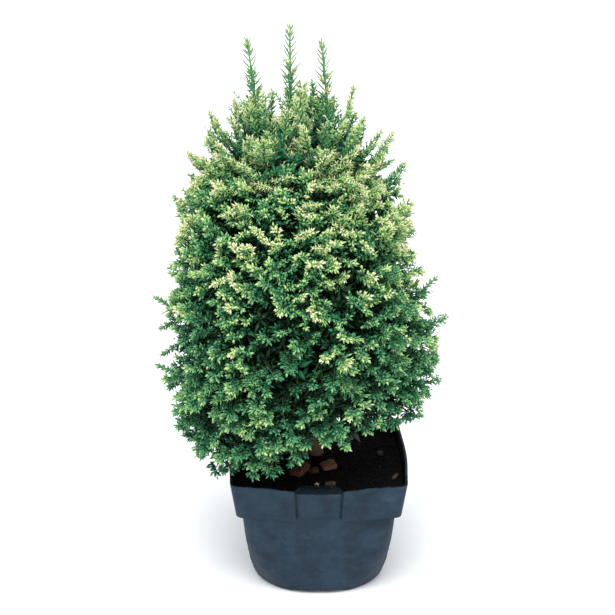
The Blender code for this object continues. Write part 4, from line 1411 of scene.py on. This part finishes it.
def drop(pieces, x, y):
    """Highest place on the pieces above or below a point."""
    heights = []
    for piece in pieces:
        hit, place, _, _ = piece.ray_cast(Vector((x, y, DROP_FROM)), Vector((0.0, 0.0, -1.0)))
        if hit:
            heights.append(place.z)
    return max(heights)


def chip_piece(name, x, y, z, size, turn, finish):
    """A broken chip of bark: a box cut finer, roughened and bevelled."""
    bpy.ops.object.select_all(action="DESELECT")
    bpy.ops.mesh.primitive_cube_add(
        size=1.0, location=(x, y, z + 0.3 * size[2]), rotation=(0.12, -0.16, math.radians(turn)), scale=size
    )
    chip = fresh_piece(name)
    edit(chip)
    bpy.ops.mesh.subdivide(number_cuts=3, smoothness=0.35)
    leave_edit()
    roughen(chip, f"{name}_breaks", 0.35 * size[0], 0.5 * size[2])
    bevel(chip, 0.03 * size[0], 30)
    smooth_under(chip, 35)
    chip.data.materials.append(finish)
    settle(chip)


def limb_piece(name, rows, sides):
    """A tapering limb, extruded from a circle through rows of (x, y, z, radius)."""
    bpy.ops.object.select_all(action="DESELECT")
    bpy.ops.mesh.primitive_circle_add(
        vertices=sides, radius=float(rows[0, 3]), fill_type="NGON", location=tuple(rows[0, :3])
    )
    limb = fresh_piece(name)
    edit(limb)
    for before, after in zip(rows, rows[1:]):
        step = tuple(float(v) for v in after[:3] - before[:3])
        bpy.ops.mesh.extrude_region_move(TRANSFORM_OT_translate={"value": step})
        scale = float(after[3] / before[3])
        centre = tuple(float(v) for v in after[:3])
        bpy.ops.transform.resize(value=(scale, scale, scale), center_override=centre)
    leave_edit()
    return limb


def flare_foot(trunk):
    """Pushes ridges out of the trunk's foot, at even turns about it."""
    centre = np.array(TRUNK_STATIONS[0][:3])
    for lobe in range(FOOT_LOBES):
        away = level_way(math.tau * (lobe + 0.3) / FOOT_LOBES)
        edit(trunk)
        bpy.ops.mesh.select_all(action="DESELECT")
        bpy.ops.object.mode_set(mode="OBJECT")
        for vertex in trunk.data.vertices:
            offset = (np.array(vertex.co) - centre) * np.array([1.0, 1.0, 0.0])
            facing = dots(unit(offset), away) > LOBE_FACING
            vertex.select = bool(facing and vertex.co.z < centre[2] + LOBE_HEIGHT)
        bpy.ops.object.mode_set(mode="EDIT")
        bpy.ops.transform.translate(value=tuple(float(v) for v in away * LOBE_PUSH))
        leave_edit()


# Operators


class CYPRESS_OT_pot(bpy.types.Operator):
    """Round the edges of the moulded pot and give it its plastic"""

    bl_idname = "cypress.pot"
    bl_label = "Pot"

    def execute(self, context):
        looks = context.scene.cypress_pot
        pot = copy_of_node("pot", "moulded_pot")
        edit(pot)
        bpy.ops.mesh.dissolve_limited(angle_limit=math.radians(0.6))
        leave_edit()
        round_pot(pot)
        bevel(pot, looks.edge_width, 32)
        smooth_under(pot, 34)
        pot.data.materials.append(plastic_finish(looks))
        pot.data.materials.append(inside_finish("shaded_inside", looks.inside))
        pot.data.materials.append(inside_finish("dusty_shaded_shelf", looks.shelf))
        darken_inside(pot)
        settle(pot, ("pot",))
        return {"FINISHED"}


class CYPRESS_OT_soil(bpy.types.Operator):
    """Make the soil's crumbly top"""

    bl_idname = "cypress.soil"
    bl_label = "Soil"

    def execute(self, context):
        looks = context.scene.cypress_soil
        soil = copy_of_node("soil", "peat")
        edit(soil)
        bpy.ops.mesh.bisect(plane_co=(0.0, 0.0, SOIL_CUT), plane_no=UP, use_fill=True, clear_inner=True)
        leave_edit()
        modify(soil, "REMESH", mode="VOXEL", voxel_size=SOIL_CELL)
        roughen(soil, "clods", 0.009, 2.6 * MM, direction="Z")
        roughen(soil, "crumbs", 0.0028, 1.5 * MM, direction="Z")
        soil.data.materials.append(peat_finish(looks))
        settle(soil, ("soil",))
        return {"FINISHED"}


class CYPRESS_OT_litter(bpy.types.Operator):
    """Scatter crumbs, grains, chips of bark and bare twigs over the soil"""

    bl_idname = "cypress.litter"
    bl_label = "Litter on the soil"

    def execute(self, context):
        looks = context.scene.cypress_soil
        ground = [bpy.data.objects.get("peat"), bpy.data.objects.get("moulded_pot")]
        if None in ground:
            raise RuntimeError("The litter needs the soil and the pot")
        context.view_layer.update()
        rng = np.random.default_rng((SEED, 200))
        places = rng.uniform(-CRUMB_REACH, CRUMB_REACH, (looks.crumbs, 2))
        places[:SHELF_CRUMBS] = rng.uniform(*SHELF_CORNERS, (SHELF_CRUMBS, 2))
        heights = [drop(ground, x, y) for x, y in places]
        roots = np.column_stack([places, heights]) - UP * 0.2 * MM
        ways = unit(rng.normal(0, 1, roots.shape) + UP * 0.4)
        number = rng.choice(3, len(roots), p=CRUMB_SHARES)
        sizes = rng.uniform(0.7, 2.6, len(roots)) * MM * (1.0 - 0.4 * (number == PALE_CRUMB))
        growth = Growth()
        growth.add(
            LUMP, number, roots, ways, rng.normal(0, 1, roots.shape), sizes,
            sizes * rng.uniform(0.6, 1.0, len(roots)), 0.8, CRUMB_KINDS,
        )
        out = level_ways(np.radians(rng.uniform(-170, -10, BARE_TWIGS)))
        starts = np.array([trunk_place(z) for z in rng.uniform(0.116, 0.130, BARE_TWIGS)])
        ends = starts + out * rng.uniform(22, 46, BARE_TWIGS)[:, None] * MM
        ends = ends + UP * rng.uniform(2, 18, BARE_TWIGS)[:, None] * MM
        bends = (starts + ends) / 2 + UP * 5 * MM
        growth.tubes("bare_twigs", curve_paths(starts, bends, ends), BARE_TWIG_RADII, sides=5)
        finishes = {kind: plain_finish(kind, getattr(looks, kind), 0.9, 0.1) for kind in CRUMB_KINDS}
        finishes["bare_twigs"] = bark_finish()
        growth.pieces("litter", finishes, (), {"leaves": "soil", "bare_twigs": "bark"})
        for name, x, y, length, breadth, thick, turn, light, dark in CHIPS:
            finish = chip_finish(name, srgb(*light), srgb(*dark))
            chip_piece(name, x, y, drop(ground, x, y), (length, breadth, thick), turn, finish)
        return {"FINISHED"}


class CYPRESS_OT_limbs(bpy.types.Operator):
    """Make the trunk and the two leaders with their bark's relief"""

    bl_idname = "cypress.limbs"
    bl_label = "Trunk and leaders"

    def execute(self, context):
        for name, sides in LIMB_SIDES.items():
            limb = limb_piece(f"{name}_bark", smooth_path(limb_stations(name), LIMB_STEP), sides)
            if name == "trunk":
                flare_foot(limb)
            modify(limb, "SUBSURF", levels=1, render_levels=1)
            roughen(limb, f"{name}_relief", 0.005, BARK_RELIEF)
            select_only(limb)
            bpy.ops.object.shade_smooth()
            limb.data.materials.append(bark_finish())
            settle(limb, (name,))
        return {"FINISHED"}


class CYPRESS_OT_tier(bpy.types.Operator):
    """Grow the boughs, branchlets and sprigs of one tier of foliage"""

    bl_idname = "cypress.tier"
    bl_label = "Tier of foliage"
    tier: bpy.props.StringProperty(name="Tier", description="Name of the tier", default="skirt")

    def execute(self, context):
        masses = lay_out_masses()
        numbers = [number for number, mass in enumerate(masses) if mass.tier == self.tier]
        if not numbers:
            raise RuntimeError(f"No tier is named {self.tier}")
        sizes = context.scene.cypress_crown
        rng = np.random.default_rng((SEED, numbers[0]))
        growth = Growth()
        grow_tier(growth, self.tier, masses, sizes, rng)
        grow_inside(growth, self.tier, masses, sizes, rng)
        grow_boughs(growth, [masses[number] for number in numbers], rng)
        nodes = [masses[number].name for number in numbers]
        slots = {"leaves": "foliage", "boughs": "bark", "twigs": "bark"}
        growth.pieces(self.tier, leaf_finishes(context.scene.cypress_leaves), nodes, slots)
        return {"FINISHED"}


class CYPRESS_OT_plumes(bpy.types.Operator):
    """Grow the three plumes that stand on the trunk and the leaders"""

    bl_idname = "cypress.plumes"
    bl_label = "Plumes"

    def execute(self, context):
        rng = np.random.default_rng((SEED, 100))
        growth = Growth()
        for _, limb, *tip in PLUMES:
            grow_plume(growth, limb_stations(limb)[-1, :3] + UP * TOUCH_GAP, np.array(tip), rng)
        nodes = [name for name, *_ in PLUMES]
        growth.pieces("plume", leaf_finishes(context.scene.cypress_leaves), nodes, {"leaves": "plume"})
        return {"FINISHED"}


class CYPRESS_OT_stage(bpy.types.Operator):
    """Set the pale floor, the soft lights and the camera"""

    bl_idname = "cypress.stage"
    bl_label = "Stage"

    def execute(self, context):
        bpy.ops.object.select_all(action="DESELECT")
        bpy.ops.mesh.primitive_plane_add(size=FLOOR_SIZE, location=(0.0, 0.0, -FLOOR_DROP))
        floor = context.active_object
        floor.name = "floor"
        floor.data.materials.append(plain_finish("pale_floor", FLOOR_COLOUR, 0.9, 0.1))
        bpy.ops.object.transform_apply(location=True)
        world = bpy.data.worlds.new("soft_room")
        world.use_nodes = True
        background = world.node_tree.nodes["Background"]
        background.inputs["Color"].default_value = ROOM_COLOUR
        background.inputs["Strength"].default_value = ROOM_STRENGTH
        context.scene.world = world
        for name, place, power, softness in SUNS:
            light = bpy.data.lights.new(name, "SUN")
            light.energy = power
            light.angle = math.radians(softness)
            lamp = bpy.data.objects.new(name, light)
            lamp.location = place
            lamp.rotation_euler = (-Vector(place)).to_track_quat("-Z", "Y").to_euler()
            context.scene.collection.objects.link(lamp)
        lens = bpy.data.cameras.new("camera")
        lens.lens = CAMERA_LENS
        lens.sensor_width = CAMERA_SENSOR
        camera = bpy.data.objects.new("camera", lens)
        camera.location = CAMERA_PLACE
        camera.rotation_euler = (CAMERA_TILT, 0.0, 0.0)
        context.scene.collection.objects.link(camera)
        context.scene.camera = camera
        context.scene.view_settings.view_transform = "Standard"
        return {"FINISHED"}


class CYPRESS_PT_panel(bpy.types.Panel):
    """Lists the pieces of the potted cypress"""

    bl_label = "Potted cypress"
    bl_idname = "CYPRESS_PT_panel"
    bl_space_type = "VIEW_3D"
    bl_region_type = "UI"
    bl_category = "Cypress"

    def draw(self, context):
        layout = self.layout
        layout.operator(CYPRESS_OT_pot.bl_idname)
        layout.operator(CYPRESS_OT_soil.bl_idname)
        layout.operator(CYPRESS_OT_litter.bl_idname)
        layout.operator(CYPRESS_OT_limbs.bl_idname)
        for tier, *_ in TIERS:
            layout.operator(CYPRESS_OT_tier.bl_idname, text=f"Foliage: {tier}").tier = tier
        layout.operator(CYPRESS_OT_plumes.bl_idname)
        layout.operator(CYPRESS_OT_stage.bl_idname)


GROUPS = {
    "cypress_leaves": LeafColours,
    "cypress_crown": FoliageSizes,
    "cypress_pot": PotLooks,
    "cypress_soil": SoilLooks,
}
CLASSES = (
    LeafColours,
    FoliageSizes,
    PotLooks,
    SoilLooks,
    CYPRESS_OT_pot,
    CYPRESS_OT_soil,
    CYPRESS_OT_litter,
    CYPRESS_OT_limbs,
    CYPRESS_OT_tier,
    CYPRESS_OT_plumes,
    CYPRESS_OT_stage,
    CYPRESS_PT_panel,
)


def register():
    for item in CLASSES:
        bpy.utils.register_class(item)
    for name, group in GROUPS.items():
        setattr(bpy.types.Scene, name, bpy.props.PointerProperty(type=group))


def unregister():
    for name in GROUPS:
        delattr(bpy.types.Scene, name)
    for item in reversed(CLASSES):
        bpy.utils.unregister_class(item)


def main():
    register()
    bpy.ops.cypress.pot()
    bpy.ops.cypress.soil()
    bpy.ops.cypress.litter()
    bpy.ops.cypress.limbs()
    for tier, *_ in TIERS:
        bpy.ops.cypress.tier(tier=tier)
    bpy.ops.cypress.plumes()
    bpy.ops.cypress.stage()


if __name__ == "__main__":
    main()
